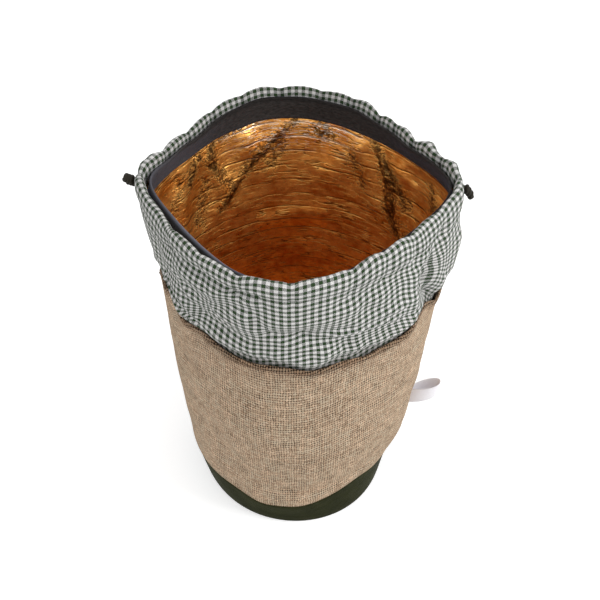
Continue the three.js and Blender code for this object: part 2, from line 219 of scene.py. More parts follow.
def radius_at(hoop, azimuth):
    """A smooth closed curve through the eight radii of a hoop, drawn out at the corners."""
    around = np.radians(azimuth)
    sides = list(hoop.values())[1:COMPASS + 1]
    radius = np.zeros_like(around)
    for wave in range(COMPASS // 2 + 1):
        share = (1 if wave in (0, COMPASS // 2) else 2) / COMPASS
        for i, side in enumerate(sides):
            radius += share * side * np.cos(wave * (around - i * 2 * math.pi / COMPASS))
    for corner in CORNERS:
        radius += hoop["point"] * bell(turn(corner, azimuth), POINT_WIDTH)
    return radius


def off_fold(fold, azimuth, level):
    """How far each place is from a fold's line, on the cloth."""
    x = np.radians(turn(fold["azimuth"], azimuth)) * FOLD_RADIUS
    y = level - fold["level"]
    to_x = math.radians(turn(fold["azimuth"], fold["to_azimuth"])) * FOLD_RADIUS
    to_y = fold["to_level"] - fold["level"]
    along = np.clip((x * to_x + y * to_y) / (to_x**2 + to_y**2), 0, 1)
    return np.hypot(x - along * to_x, y - along * to_y)


def folds_at(folds, azimuth, level):
    """How far a set of folds moves the cloth at each place."""
    return sum(fold["depth"] * bell(off_fold(fold, azimuth, level), fold["width"]) for fold in folds)


def cloth_point(azimuth, level, inset):
    """Points of the cloth: inset is measured inwards from the outside of the bag."""
    azimuth, level, inset = np.broadcast_arrays(azimuth, np.asarray(level, float), inset)
    top = np.minimum(level, RIM)
    hoop = hoops_at(top)
    around = np.radians(azimuth)
    radius = radius_at(hoop, azimuth) - inset
    z = level - hoop["lift"] * np.cos(around) + hoop["lean"] * np.sin(around)
    standing = np.minimum(level / SEAM, 1)
    for dip in DIPS:
        near = bell(top - dip["level"], dip["reach"]) * bell(turn(dip["azimuth"], azimuth), dip["width"])
        radius = radius - dip["pull"] * near * standing
        z = z - dip["drop"] * near * standing
    radius = radius + folds_at(COLLAR_FOLDS, azimuth, level) + folds_at(JUTE_FOLDS, azimuth, level)
    return np.stack([radius * np.sin(around), -radius * np.cos(around), z], axis=-1)


def girth(level):
    """Length of the outside of the bag at a level, and at each whole degree from the side seam."""
    azimuth = SIDE_SEAM + np.arange(361)
    points = cloth_point(azimuth, np.full(azimuth.shape, float(level)), 0)
    steps = np.linalg.norm(np.diff(points, axis=0), axis=1)
    return np.concatenate([[0], np.cumsum(steps)])


def rounded(rows, closed=False, cuts=3):
    """The rows' line with its corners cut off, again and again."""
    line = np.array(rows, float)
    for _ in range(cuts):
        ahead = np.roll(line, -1, axis=0) if closed else line[1:]
        start = line if closed else line[:-1]
        cut = np.stack([0.75 * start + 0.25 * ahead, 0.25 * start + 0.75 * ahead], axis=1)
        cut = cut.reshape(-1, line.shape[1])
        line = cut if closed else np.vstack([line[:1], cut[1:-1], line[-1:]])
    return np.vstack([line, line[:1]]) if closed else line


def evenly(line, share):
    """Points of a line at shares of its length, and their distance along it."""
    steps = np.linalg.norm(np.diff(line, axis=0), axis=1)
    along = np.concatenate([[0], np.cumsum(steps)])
    at = share * along[-1]
    return np.stack([np.interp(at, along, column) for column in line.T], axis=-1), at


def length_of(line):
    return evenly(line, np.array([1.0]))[1][0]


# Pieces.

CLOTH_MAP = "cloth"  # UV map of each cloth: metres across and along its flat cut
MARK = "mark"  # how strongly each place is marked, for its material: with painted shade, and on the felt painted highlight too


def new_object(name, mesh):
    piece = bpy.data.objects.new(name, mesh)
    bpy.context.scene.collection.objects.link(piece)
    return piece


def grid(name, across, along, place):
    """A sheet made from a flat grid. place(s, t) takes shares of its width and length, from 0 to 1,
    and gives each point, its place in the flat cloth and, if it likes, a mark. Edges that meet are
    joined."""
    shape = bmesh.new()
    bmesh.ops.create_grid(shape, x_segments=across, y_segments=along, size=1)
    mesh = bpy.data.meshes.new(name)
    shape.to_mesh(mesh)
    shape.free()
    flat = np.zeros(len(mesh.vertices) * 3, np.float32)
    mesh.vertices.foreach_get("co", flat)
    share = (flat.reshape(-1, 3)[:, :2].astype(float) + 1) / 2
    points, cut, *marks = place(share[:, 0], share[:, 1])
    mesh.vertices.foreach_set("co", (points * MM).astype(np.float32).ravel())
    for mark in marks:
        mesh.attributes.new(MARK, "FLOAT", "POINT").data.foreach_set("value", mark.astype(np.float32))
    corners = np.zeros(len(mesh.loops), np.int32)
    mesh.loops.foreach_get("vertex_index", corners)
    layer = mesh.uv_layers.new(name=CLOTH_MAP)
    layer.data.foreach_set("uv", (cut[corners] * MM).astype(np.float32).ravel())
    shape = bmesh.new()
    shape.from_mesh(mesh)
    bmesh.ops.remove_doubles(shape, verts=shape.verts, dist=1e-6)
    for face in shape.faces:
        face.smooth = True
    shape.to_mesh(mesh)
    shape.free()
    return new_object(name, mesh)


def thicken(piece, thickness):
    """Gives a sheet its thickness, half to each side."""
    solid = piece.modifiers.new("thickness", "SOLIDIFY")
    solid.thickness = thickness * MM
    solid.offset = 0
    return piece


def finish_piece(piece, material, slot, *nodes):
    """Gives a piece its material and says which parts of the frame it stands for."""
    piece.data.materials.append(material)
    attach(piece, "root")
    if nodes:
        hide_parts(*nodes)
    return piece


# Materials.


def linear(hex_colour):
    """An sRGB hex colour as linear values, with an alpha of 1."""
    values = [int(hex_colour[i:i + 2], 16) / 255 for i in (1, 3, 5)]
    return tuple(v / 12.92 if v <= 0.04045 else ((v + 0.055) / 1.055) ** 2.4 for v in values) + (1.0,)


def add(tree, kind, inputs=(), output=0, **settings):
    """Adds a node, with its settings, and what each input takes: a value or another node's output."""
    node = tree.nodes.new("ShaderNode" + kind)
    for name, value in settings.items():
        setattr(node, name, value)
    for socket, value in dict(inputs).items():
        if isinstance(value, bpy.types.NodeSocket):
            tree.links.new(value, node.inputs[socket])
        else:
            node.inputs[socket].default_value = value
    return node.outputs[output] if node.outputs else node


def new_material(name):
    material = bpy.data.materials.new(name)
    material.use_nodes = True
    material.node_tree.nodes.clear()
    return material, material.node_tree


def plain_weave(tree, place, across, along):
    """Plain weave of two thread spacings, in metres. Gives how high the cloth stands, from 0 in the
    holes to 1 on the threads, and where an upright thread is the one on top."""
    u = add(tree, "SeparateXYZ", {0: place}, 0)
    v = add(tree, "SeparateXYZ", {0: place}, 1)
    waves = []
    for value, spacing in ((u, across), (v, along)):
        turned = add(tree, "Math", {0: value, 1: math.pi / spacing}, operation="MULTIPLY")
        waves.append(add(tree, "Math", {0: turned}, operation="SINE"))
    crossing = add(tree, "Math", {0: waves[0], 1: waves[1]}, operation="MULTIPLY")
    upright = add(tree, "Math", {0: waves[0]}, operation="ABSOLUTE")
    level = add(tree, "Math", {0: waves[1]}, operation="ABSOLUTE")
    upright = add(tree, "Math", {0: upright, 1: crossing}, operation="ADD")
    level = add(tree, "Math", {0: level, 1: crossing}, operation="SUBTRACT")
    height = add(tree, "Math", {0: upright, 1: level}, operation="MAXIMUM")
    height = add(tree, "Math", {0: height, 1: 0.5}, operation="MULTIPLY")
    on_top = add(tree, "Math", {0: upright, 1: level}, operation="GREATER_THAN")
    return height, on_top


def wandering(tree, amount, size):
    """The place on the cloth, moved a little, so that threads and stripes aren't drawn with a ruler."""
    place = add(tree, "UVMap", uv_map=CLOTH_MAP)
    drift = add(tree, "TexNoise", {"Vector": place, "Scale": 1 / size, "Detail": 2.0}, 1)
    centred = add(tree, "VectorMath", {0: drift, 1: (0.5, 0.5, 0.5)}, operation="SUBTRACT")
    scaled = add(tree, "VectorMath", {0: centred, "Scale": amount}, operation="SCALE")
    return add(tree, "VectorMath", {0: place, 1: scaled}, operation="ADD")


def stretched(tree, place, across, along):
    """The place on the cloth in units of two lengths, in metres."""
    return add(tree, "VectorMath", {0: place, 1: (1 / across, 1 / along, 1)}, operation="MULTIPLY")


CHECK_ACROSS, CHECK_UP = 0.00322, 0.00285  # width and height of one square of the gingham
THREADS = 5  # in a square, each way
COTTON_FIBRE, COTTON_RUMPLE = 900.0, 90.0  # grains in a metre: 1.1 mm and 11 mm across
GREEN = "#283d20"
WHITE = "#dedcda"
MIXED_SHADE = 0.74  # painted shade: squares of mixed yarn darkened for the shadows among their threads


def gingham_material():
    """Yarn-dyed cotton gingham: stripes of green and of white yarn both ways, so that a square is
    green, white, or a thread-by-thread mix of both. Its threads, really 0.3 mm apart, are drawn at
    0.6 mm. Matt, with a faint nap."""
    material, tree = new_material("gingham_cotton")
    place = wandering(tree, amount=0.0007, size=0.06)
    height, on_top = plain_weave(tree, place, CHECK_ACROSS / THREADS, CHECK_UP / THREADS)
    yarns = []
    for axis, side in enumerate((CHECK_ACROSS, CHECK_UP)):
        value = add(tree, "SeparateXYZ", {0: place}, axis)
        count = add(tree, "Math", {0: value, 1: 0.5 / side}, operation="MULTIPLY")
        part = add(tree, "Math", {0: count}, operation="FRACT")
        yarns.append(add(tree, "Math", {0: part, 1: 0.5}, operation="LESS_THAN"))
    green = add(tree, "Mix", {0: on_top, 2: yarns[1], 3: yarns[0]}, data_type="FLOAT")
    fibre = add(tree, "TexNoise", {"Vector": place, "Scale": COTTON_FIBRE, "Detail": 2.0})
    shade = add(tree, "MapRange", {0: fibre, 1: 0.3, 2: 0.7, 3: 0.8, 4: 1.1})
    # Painted shade in the holes between the threads.
    hole = add(tree, "MapRange", {0: height, 1: 0.0, 2: 0.5, 3: 0.72, 4: 1.0})
    shade = add(tree, "Math", {0: shade, 1: hole}, operation="MULTIPLY")
    # Painted shade in the squares of mixed yarn.
    mixed = add(tree, "Math", {0: yarns[0], 1: yarns[1]}, operation="SUBTRACT")
    mixed = add(tree, "Math", {0: mixed}, operation="ABSOLUTE")
    mixed = add(tree, "MapRange", {0: mixed, 1: 0.0, 2: 1.0, 3: 1.0, 4: MIXED_SHADE})
    shade = add(tree, "Math", {0: shade, 1: mixed}, operation="MULTIPLY")
    # Painted shade where the collar is marked: at the back of the casing, in its gathers, along its seam
    # and at the left.
    painted_shade = add(tree, "Attribute", output=2, attribute_name=MARK)
    painted_shade = add(tree, "MapRange", {0: painted_shade, 1: 0.0, 2: 1.0, 3: 1.0, 4: 0.3})
    shade = add(tree, "Math", {0: shade, 1: painted_shade}, operation="MULTIPLY")
    dyed = add(tree, "Mix", {0: green, 6: linear(WHITE), 7: linear(GREEN)}, 2, data_type="RGBA")
    colour = add(tree, "VectorMath", {0: dyed, "Scale": shade}, operation="SCALE")
    rumple = add(tree, "TexNoise", {"Vector": place, "Scale": COTTON_RUMPLE, "Detail": 3.0})
    soft = add(tree, "Bump", {"Strength": 0.5, "Distance": 0.0012, "Height": rumple})
    normal = add(tree, "Bump", {"Strength": 0.4, "Distance": 0.00025, "Height": height, "Normal": soft})
    shader = add(tree, "BsdfPrincipled", {
        "Base Color": colour, "Roughness": 0.85, "Normal": normal, "Sheen Weight": 0.1,
        "Sheen Roughness": 0.5, "Specular IOR Level": 0.2})
    add(tree, "OutputMaterial", {"Surface": shader})
    return material


JUTE_ACROSS, JUTE_UP = 0.00255, 0.0033  # spacing of the hessian's upright and level threads
STRAW_WARM = "#e4c6a8"
STRAW_COOL = "#cbb9a0"
STRAW_DARK = "#9c836b"
# Painted shade in the gaps between the yarns, where the weave is close.
STRAW_SHADE = "#5b4632"
# Brown of the painted shade where the hessian is marked.
SHADE_BROWN = "#85603a"
# Painted shade in the gaps between the yarns, where the weave is open.
STRAW_GAP_SHADE = "#20160e"
YARN_TONE, YARN_REACH = 0.0022, 0.02  # width and length of a yarn's patches of one tone
JUTE_FIBRE, JUTE_BLOTCH = 1300.0, 70.0  # grains in a metre: 0.8 mm and 14 mm across


def jute_yarn(tree, place, on_top, slub):
    """Colour of the yarns, in long patches along each, darker where they are thin."""
    tones, hues = [], []
    for across, along in ((YARN_TONE, YARN_REACH), (YARN_REACH, YARN_TONE)):
        tones.append(add(tree, "TexNoise", {
            "Vector": stretched(tree, place, across, along), "Scale": 1.0, "Detail": 3.0}))
        hues.append(add(tree, "TexNoise", {
            "Vector": stretched(tree, place, across * 2, along * 2), "Scale": 1.0, "Detail": 1.0}))
    tone = add(tree, "Mix", {0: on_top, 2: tones[1], 3: tones[0]}, data_type="FLOAT")
    hue = add(tree, "Mix", {0: on_top, 2: hues[1], 3: hues[0]}, data_type="FLOAT")
    hue = add(tree, "MapRange", {0: hue, 1: 0.4, 2: 0.6, 3: 0.0, 4: 1.0})
    mixed = add(tree, "Math", {0: tone, 1: slub}, operation="ADD")
    mixed = add(tree, "MapRange", {0: mixed, 1: 0.78, 2: 1.14, 3: 0.0, 4: 1.0})
    pale = add(tree, "Mix", {0: hue, 6: linear(STRAW_WARM), 7: linear(STRAW_COOL)}, 2, data_type="RGBA")
    yarn = add(tree, "Mix", {0: mixed, 6: linear(STRAW_DARK), 7: pale}, 2, data_type="RGBA")
    fibre = add(tree, "TexNoise", {"Vector": place, "Scale": JUTE_FIBRE, "Detail": 2.0})
    fibre = add(tree, "MapRange", {0: fibre, 1: 0.3, 2: 0.7, 3: 0.84, 4: 1.12})
    return add(tree, "VectorMath", {0: yarn, "Scale": fibre}, operation="SCALE")


def jute_material():
    """Hessian: thick, uneven jute yarn in a plain weave, with slubs and stray dark fibres, more open
    in some places than in others. Dry and quite matt. Painted shade fills the gaps between its
    yarns, and darkens and browns it where it is marked."""
    material, tree = new_material("jute_hessian")
    place = wandering(tree, amount=0.0034, size=0.014)
    height, on_top = plain_weave(tree, place, JUTE_ACROSS, JUTE_UP)
    slub = add(tree, "TexNoise", {
        "Vector": stretched(tree, place, 0.005, 0.004), "Scale": 1.0, "Detail": 4.0, "Roughness": 0.7})
    yarn = jute_yarn(tree, place, on_top, slub)
    blotch = add(tree, "TexNoise", {"Vector": place, "Scale": JUTE_BLOTCH, "Detail": 5.0, "Roughness": 0.7})
    # Painted shade where the hessian is marked: under its top edge, below it at the front and at its seam;
    # the mark also opens the weave.
    shade_mark = add(tree, "Attribute", output=2, attribute_name=MARK)
    open_weave = add(tree, "MapRange", {0: blotch, 1: 0.42, 2: 0.7, 3: 0.0, 4: 1.0})
    open_weave = add(tree, "Math", {0: open_weave, 1: shade_mark}, operation="ADD")
    reach = add(tree, "MapRange", {0: open_weave, 1: 0.0, 2: 1.0, 3: 0.44, 4: 0.62})
    hole = add(tree, "Math", {0: reach, 1: 0.3}, operation="SUBTRACT")
    filled = add(tree, "MapRange", {0: height, 1: hole, 2: reach, 3: 0.0, 4: 1.0},
                 interpolation_type="SMOOTHSTEP")
    # The gaps between the yarns show painted shade.
    gap = add(tree, "Mix", {0: open_weave, 6: linear(STRAW_SHADE), 7: linear(STRAW_GAP_SHADE)}, 2,
              data_type="RGBA")
    colour = add(tree, "Mix", {0: filled, 6: gap, 7: yarn}, 2, data_type="RGBA")
    # Brown painted shade where the hessian is marked.
    brown_shade = add(tree, "Math", {0: shade_mark, 1: 0.7}, operation="MULTIPLY")
    colour = add(tree, "Mix", {0: brown_shade, 6: colour, 7: linear(SHADE_BROWN)}, 2,
                 data_type="RGBA", blend_type="MULTIPLY")
    thick = add(tree, "Math", {0: height, 1: slub}, operation="ADD")
    drag = add(tree, "TexNoise", {
        "Vector": stretched(tree, place, 0.05, 0.014), "Scale": 1.0, "Detail": 3.0})
    soft = add(tree, "Bump", {"Strength": 0.5, "Distance": 0.0024, "Height": drag})
    normal = add(tree, "Bump", {"Strength": 0.9, "Distance": 0.0008, "Height": thick, "Normal": soft})
    shader = add(tree, "BsdfPrincipled", {
        "Base Color": colour, "Roughness": 0.95, "Normal": normal, "Specular IOR Level": 0.1})
    add(tree, "OutputMaterial", {"Surface": shader})
    return material


OLIVE = "#2e301b"
OLIVE_DARK = "#252715"
CANVAS_WEAVE = 0.0009  # spacing of the threads, both ways
CANVAS_WEAR, CANVAS_RUMPLE = 40.0, 55.0  # patches in a metre: 25 mm and 18 mm across


def canvas_material():
    """Dyed cotton canvas with a proofed face: a tight weave, really 0.5 mm, drawn at 0.9 mm, that
    catches a dull shine on its curves."""
    material, tree = new_material("proofed_canvas")
    place = wandering(tree, amount=0.0008, size=0.02)
    height, _ = plain_weave(tree, place, CANVAS_WEAVE, CANVAS_WEAVE)
    wear = add(tree, "TexNoise", {"Vector": place, "Scale": CANVAS_WEAR, "Detail": 5.0})
    wear = add(tree, "MapRange", {0: wear, 1: 0.35, 2: 0.65, 3: 0.0, 4: 1.0})
    colour = add(tree, "Mix", {0: wear, 6: linear(OLIVE_DARK), 7: linear(OLIVE)}, 2, data_type="RGBA")
    rumple = add(tree, "TexNoise", {"Vector": place, "Scale": CANVAS_RUMPLE, "Detail": 3.0})
    soft = add(tree, "Bump", {"Strength": 0.5, "Distance": 0.0025, "Height": rumple})
    normal = add(tree, "Bump", {"Strength": 0.4, "Distance": 0.0003, "Height": height, "Normal": soft})
    shader = add(tree, "BsdfPrincipled", {
        "Base Color": colour, "Roughness": 0.5, "Normal": normal, "Specular IOR Level": 0.01})
    add(tree, "OutputMaterial", {"Surface": shader})
    return material


FELT_GREY = "#45413f"
FELT_DARK = "#24211f"
# Colour of the painted highlight on the felt's lit edge and face.
FELT_HIGHLIGHT = "#7d7e8a"
FELT_BLOOM = "#8489a6"


def felt_material():
    """Needled felt: matted grey fibre with no weave, mottled dark and light, with a soft bloom where
    it is seen edge on. A painted highlight makes it paler where its mark is positive, and painted
    shade makes it darker where it is negative."""
    material, tree = new_material("needled_felt")
    place = add(tree, "UVMap", uv_map=CLOTH_MAP)
    mat = add(tree, "TexNoise", {
        "Vector": stretched(tree, place, 0.005, 0.0018), "Scale": 1.0, "Detail": 6.0, "Roughness": 0.75})
    mottle = add(tree, "MapRange", {0: mat, 1: 0.35, 2: 0.65, 3: 0.0, 4: 1.0})
    colour = add(tree, "Mix", {0: mottle, 6: linear(FELT_DARK), 7: linear(FELT_GREY)}, 2, data_type="RGBA")
    # Painted light: a painted highlight where the mark is positive, painted shade where it is negative.
    worn = add(tree, "Attribute", output=2, attribute_name=MARK)
    dark = add(tree, "MapRange", {0: worn, 1: -1.0, 2: 0.0, 3: 0.25, 4: 1.0})
    colour = add(tree, "Mix", {0: worn, 6: colour, 7: linear(FELT_HIGHLIGHT)}, 2, data_type="RGBA")
    colour = add(tree, "VectorMath", {0: colour, "Scale": dark}, operation="SCALE")
    normal = add(tree, "Bump", {"Strength": 0.7, "Distance": 0.0008, "Height": mat})
    shader = add(tree, "BsdfPrincipled", {
        "Base Color": colour, "Roughness": 1.0, "Normal": normal, "Specular IOR Level": 0.1,
        "Sheen Weight": 0.3, "Sheen Roughness": 0.35, "Sheen Tint": linear(FELT_BLOOM)})
    add(tree, "OutputMaterial", {"Surface": shader})
    return material


GOLD = "#ffc268"
GOLD_DARK = "#cc7d2e"
# Painted shade in the pressed lines, the crinkles and the crumples.
GOLD_CREASE_SHADE = "#241203"
# Painted highlight: silver along the ridges near the top of the back.
SILVER_HIGHLIGHT = "#e6dccd"
FOIL_LINES = 0.0148  # spacing of the lines pressed in the film
HIGHLIGHTS_ABOVE = 0.345, 0.372  # heights between which the painted silver highlights come in, in metres
HIGHLIGHTS_BEHIND = 0.095, 0.115  # and how far behind the middle of the bag


def off_half(tree, value):
    """How far a value is from 0.5."""
    off = add(tree, "Math", {0: value, 1: 0.5}, operation="SUBTRACT")
    return add(tree, "Math", {0: off}, operation="ABSOLUTE")


def thin_lines(tree, place, across, along, width, detail):
    """1 along thin wavering lines, 0 between them: the level curves of a stretched noise."""
    field = add(tree, "TexNoise", {
        "Vector": stretched(tree, place, across, along), "Scale": 1.0, "Detail": detail})
    return add(tree, "MapRange", {0: off_half(tree, field), 1: 0.0, 2: width, 3: 1.0, 4: 0.0},
               interpolation_type="SMOOTHSTEP")


def pressed_lines(tree, place, pressing):
    """The level lines pressed in the film, and the finer ones between them, both patchy: masks for
    their painted shade and their bump.
    """
    up = add(tree, "SeparateXYZ", {0: place}, 1)
    count = add(tree, "Math", {0: up, 1: 1 / FOIL_LINES}, operation="MULTIPLY")
    phase = add(tree, "Math", {0: count}, operation="FRACT")
    line = add(tree, "MapRange", {0: off_half(tree, phase), 1: 0.0, 2: 0.1, 3: 1.0, 4: 0.0},
               interpolation_type="SMOOTHSTEP")
    patchy = add(tree, "TexNoise", {
        "Vector": stretched(tree, place, 0.035, 0.012), "Scale": 1.0, "Detail": 2.0})
    patchy = add(tree, "MapRange", {0: patchy, 1: 0.38, 2: 0.58, 3: 0.15, 4: 1.0})
    patchy = add(tree, "Math", {0: patchy, 1: pressing}, operation="MULTIPLY")
    line = add(tree, "Math", {0: line, 1: patchy}, operation="MULTIPLY")
    fine = thin_lines(tree, place, across=0.05, along=0.007, width=0.03, detail=2.0)
    fine = add(tree, "Math", {0: fine, 1: patchy}, operation="MULTIPLY")
    fine = add(tree, "Math", {0: fine, 1: 0.7}, operation="MULTIPLY")
    return line, fine


def crumples(tree, place):
    """Painted shade: a web of sharp creases, and dark blots among them, both thicker where the film
    is marked.
    """
    marked = add(tree, "Attribute", output=2, attribute_name=MARK)
    web = add(tree, "TexNoise", {
        "Vector": stretched(tree, place, 0.009, 0.0055), "Scale": 1.0, "Detail": 3.0, "Roughness": 0.6})
    reach = add(tree, "Math", {0: marked, 1: 0.13, 2: 0.0001}, operation="MULTIPLY_ADD")
    web = add(tree, "MapRange", {0: off_half(tree, web), 1: 0.0, 2: reach, 3: 0.95, 4: 0.0})
    blot = add(tree, "TexNoise", {
        "Vector": stretched(tree, place, 0.0065, 0.0045), "Scale": 1.0, "Detail": 4.0, "Roughness": 0.65})
    blot = add(tree, "Math", {0: marked, 1: 0.25, 2: blot}, operation="MULTIPLY_ADD")
    blot = add(tree, "MapRange", {0: blot, 1: 0.6, 2: 0.78, 3: 0.0, 4: 0.9})
    return add(tree, "Math", {0: web, 1: blot}, operation="MAXIMUM")


def silver_highlights(tree, place, line):
    """Painted silver highlights along the ridges, near the top of the back."""
    spot = add(tree, "TexCoord", output=3)
    height = add(tree, "SeparateXYZ", {0: spot}, 2)
    depth = add(tree, "SeparateXYZ", {0: spot}, 1)
    highlighted = thin_lines(tree, place, across=0.02, along=0.0035, width=0.028, detail=3.0)
    highlighted = add(tree, "Math", {0: highlighted, 1: line}, operation="MAXIMUM")
    for value, (low, high) in ((height, HIGHLIGHTS_ABOVE), (depth, HIGHLIGHTS_BEHIND)):
        within = add(tree, "MapRange", {0: value, 1: low, 2: high, 3: 0.0, 4: 1.0})
        highlighted = add(tree, "Math", {0: highlighted, 1: within}, operation="MULTIPLY")
    return add(tree, "Math", {0: highlighted, 1: 0.8}, operation="MULTIPLY")


def foil_material(name, pressing):
    """Metallised film laid on a thin cloth: gold, half bright, pressed more or less deeply with level
    lines, finely crinkled between them, and crumpled where it is marked. Painted shade darkens the
    lines, crinkles and crumples, and painted silver highlights lie along its ridges near the top of
    the back."""
    material, tree = new_material(name)
    place = wandering(tree, amount=0.002, size=0.03)
    tone = add(tree, "TexNoise", {
        "Vector": stretched(tree, place, 0.011, 0.007), "Scale": 1.0, "Detail": 5.0, "Roughness": 0.65})
    glint = add(tree, "TexNoise", {
        "Vector": stretched(tree, place, 0.05, 0.03), "Scale": 1.0, "Detail": 2.0})
    tone = add(tree, "Math", {0: tone, 1: glint}, operation="ADD")
    tone = add(tree, "MapRange", {0: tone, 1: 0.8, 2: 1.2, 3: 0.0, 4: 1.0})
    colour = add(tree, "Mix", {0: tone, 6: linear(GOLD_DARK), 7: linear(GOLD)}, 2, data_type="RGBA")
    line, fine = pressed_lines(tree, place, pressing)
    crumple = crumples(tree, place)
    # Painted shade in the lines, crinkles and crumples.
    dark = add(tree, "Math", {0: line, 1: 0.8}, operation="MULTIPLY")
    dark = add(tree, "Math", {0: dark, 1: fine}, operation="MAXIMUM")
    dark = add(tree, "Math", {0: dark, 1: crumple}, operation="MAXIMUM")
    colour = add(tree, "Mix", {0: dark, 6: colour, 7: linear(GOLD_CREASE_SHADE)}, 2, data_type="RGBA")
    # Painted silver highlights near the top of the back.
    highlighted = silver_highlights(tree, place, line)
    colour = add(tree, "Mix", {0: highlighted, 6: colour, 7: linear(SILVER_HIGHLIGHT)}, 2, data_type="RGBA")
    ridges = add(tree, "Math", {0: line, 1: fine}, operation="ADD")
    ridges = add(tree, "Math", {0: ridges, 1: crumple}, operation="ADD")
    soft = add(tree, "TexNoise", {
        "Vector": stretched(tree, place, 0.014, 0.008), "Scale": 1.0, "Detail": 5.0, "Roughness": 0.6})
    first = add(tree, "Bump", {"Strength": 0.6, "Distance": 0.0016, "Height": soft})
    normal = add(tree, "Bump", {
        "Strength": 0.7, "Distance": 0.0007, "Height": ridges, "Normal": first}, invert=True)
    shader = add(tree, "BsdfPrincipled", {
        "Base Color": colour, "Metallic": 0.85, "Roughness": 0.4, "Normal": normal})
    add(tree, "OutputMaterial", {"Surface": shader})
    return material


# Painted shade in the grooves between the strands of the braid.
CORD_GROOVE_SHADE = "#110e07"
CORD_OLIVE = "#29241a"
CORD_BRAID = 0.0007  # spacing of the strands


def cord_material():
    """Braided cotton cord, dark olive brown, close and a little glossy."""
    material, tree = new_material("braided_cord")
    place = add(tree, "UVMap", uv_map=CLOTH_MAP)
    turned = add(tree, "VectorRotate", {"Vector": place, "Angle": math.pi / 4}, rotation_type="Z_AXIS")
    height, _ = plain_weave(tree, turned, CORD_BRAID, CORD_BRAID)
    # Painted shade: the braid's grooves take the darker colour.
    colour = add(tree, "Mix", {0: height, 6: linear(CORD_GROOVE_SHADE), 7: linear(CORD_OLIVE)}, 2,
                 data_type="RGBA")
    normal = add(tree, "Bump", {"Strength": 0.5, "Distance": 0.0003, "Height": height})
    shader = add(tree, "BsdfPrincipled", {
        "Base Color": colour, "Roughness": 0.6, "Normal": normal, "Specular IOR Level": 0.2})
    add(tree, "OutputMaterial", {"Surface": shader})
    return material


TAPE_SHADE = "#e9e6ec"
TAPE_WHITE = "#fbf9fd"
TAPE_RIBS = 0.0005, 0.0008  # spacing of its upright and level threads


def tape_material():
    """Woven satin tape, white and bare, with fine cross ribs and a soft shine."""
    material, tree = new_material("satin_tape")
    place = add(tree, "UVMap", uv_map=CLOTH_MAP)
    height, _ = plain_weave(tree, place, *TAPE_RIBS)
    colour = add(tree, "Mix", {0: height, 6: linear(TAPE_SHADE), 7: linear(TAPE_WHITE)}, 2,
                 data_type="RGBA")
    normal = add(tree, "Bump", {"Strength": 0.3, "Distance": 0.0002, "Height": height})
    shader = add(tree, "BsdfPrincipled", {
        "Base Color": colour, "Roughness": 0.45, "Normal": normal, "Sheen Weight": 0.2})
    add(tree, "OutputMaterial", {"Surface": shader})
    return material


THREAD_TWIST = 3000.0  # grains in a metre: 0.3 mm across


def thread_material(name, hex_colour):
    """Spun sewing thread: a two-ply twist, matt."""
    material, tree = new_material(name)
    place = add(tree, "TexCoord", output=3)
    twist = add(tree, "TexNoise", {"Vector": place, "Scale": THREAD_TWIST})
    shade = add(tree, "MapRange", {0: twist, 1: 0.3, 2: 0.7, 3: 0.75, 4: 1.15})
    colour = add(tree, "VectorMath", {0: linear(hex_colour)[:3], "Scale": shade}, operation="SCALE")
    normal = add(tree, "Bump", {"Strength": 0.3, "Distance": 0.0002, "Height": twist})
    shader = add(tree, "BsdfPrincipled", {"Base Color": colour, "Roughness": 0.8, "Normal": normal})
    add(tree, "OutputMaterial", {"Surface": shader})
    return material


# The bag's pieces.


def around_the_bag(share):
    return SIDE_SEAM + 360 * share


def turned_sheet(name, across, along, section, relief=None, closed=False, at_level=JUTE_EDGE,
                 straight_at=SEAM, marked=None, follows_folds=True, tucked=None):
    """A sleeve of cloth whose middle follows a section, rows of (level, inset), all round the bag.
    relief(azimuth, level, inset) gives the moved level and inset. marked(azimuth, level) is each
    place's mark. The weave runs straight along the level straight_at, and follows the folds above and
    below it, unless the cloth is stiff and keeps its lines level. tucked(azimuth, level) is the length
    of cloth taken up above each place."""
    line = rounded(section, closed)
    round_cloth = girth(at_level)

    def place(s, t):
        rows, _ = evenly(line, t)
        azimuth = around_the_bag(s)
        level, inset = rows[:, 0], rows[:, 1]
        if relief:
            level, inset = relief(azimuth, level, inset)
        points = cloth_point(azimuth, level, inset)
        column, row = np.rint(s * across).astype(int), np.rint(t * along).astype(int)
        sheet = np.zeros((across + 1, along + 1, 3))
        sheet[column, row] = points
        heights = evenly(line, np.linspace(0, 1, along + 1))[0][:, 0]
        up = lengths_up(sheet, int(np.argmin(np.abs(heights - straight_at))))[column, row]
        if not follows_folds:
            up = evenly(line, t)[1]
        if tucked:
            up = up - tucked(azimuth, level)
        across_cloth = np.interp(s * 360, np.arange(361), round_cloth)
        marks = [marked(azimuth, level)] if marked else []
        return points, np.stack([across_cloth, up], axis=-1), *marks

    return grid(name, across, along, place)


def lengths_up(sheet, anchor, reach=7):
    """Length of the cloth up each column of a sheet from one row, evened out between neighbours."""
    steps = np.linalg.norm(np.diff(sheet, axis=1), axis=2)
    up = np.concatenate([np.zeros_like(steps[:, :1]), np.cumsum(steps, axis=1)], axis=1)
    up = (up - up[:, anchor:anchor + 1])[:-1]
    shares = bell(np.arange(-2 * reach, 2 * reach + 1), reach)
    even = sum(share * np.roll(up, -shift, axis=0)
               for share, shift in zip(shares / shares.sum(), range(-2 * reach, 2 * reach + 1)))
    return np.vstack([even, even[:1]])


def flat_size(at_level, section, closed=False):
    """Width and length that a sleeve is cut to, in metres."""
    return girth(at_level)[-1] * MM, length_of(rounded(section, closed)) * MM


# Thickness of each cloth. The felt's own section gives its thickness.
CANVAS, CANVAS_BASE, JUTE, COTTON, FOIL = 1.2, 1.8, 1.2, 0.7, 0.5

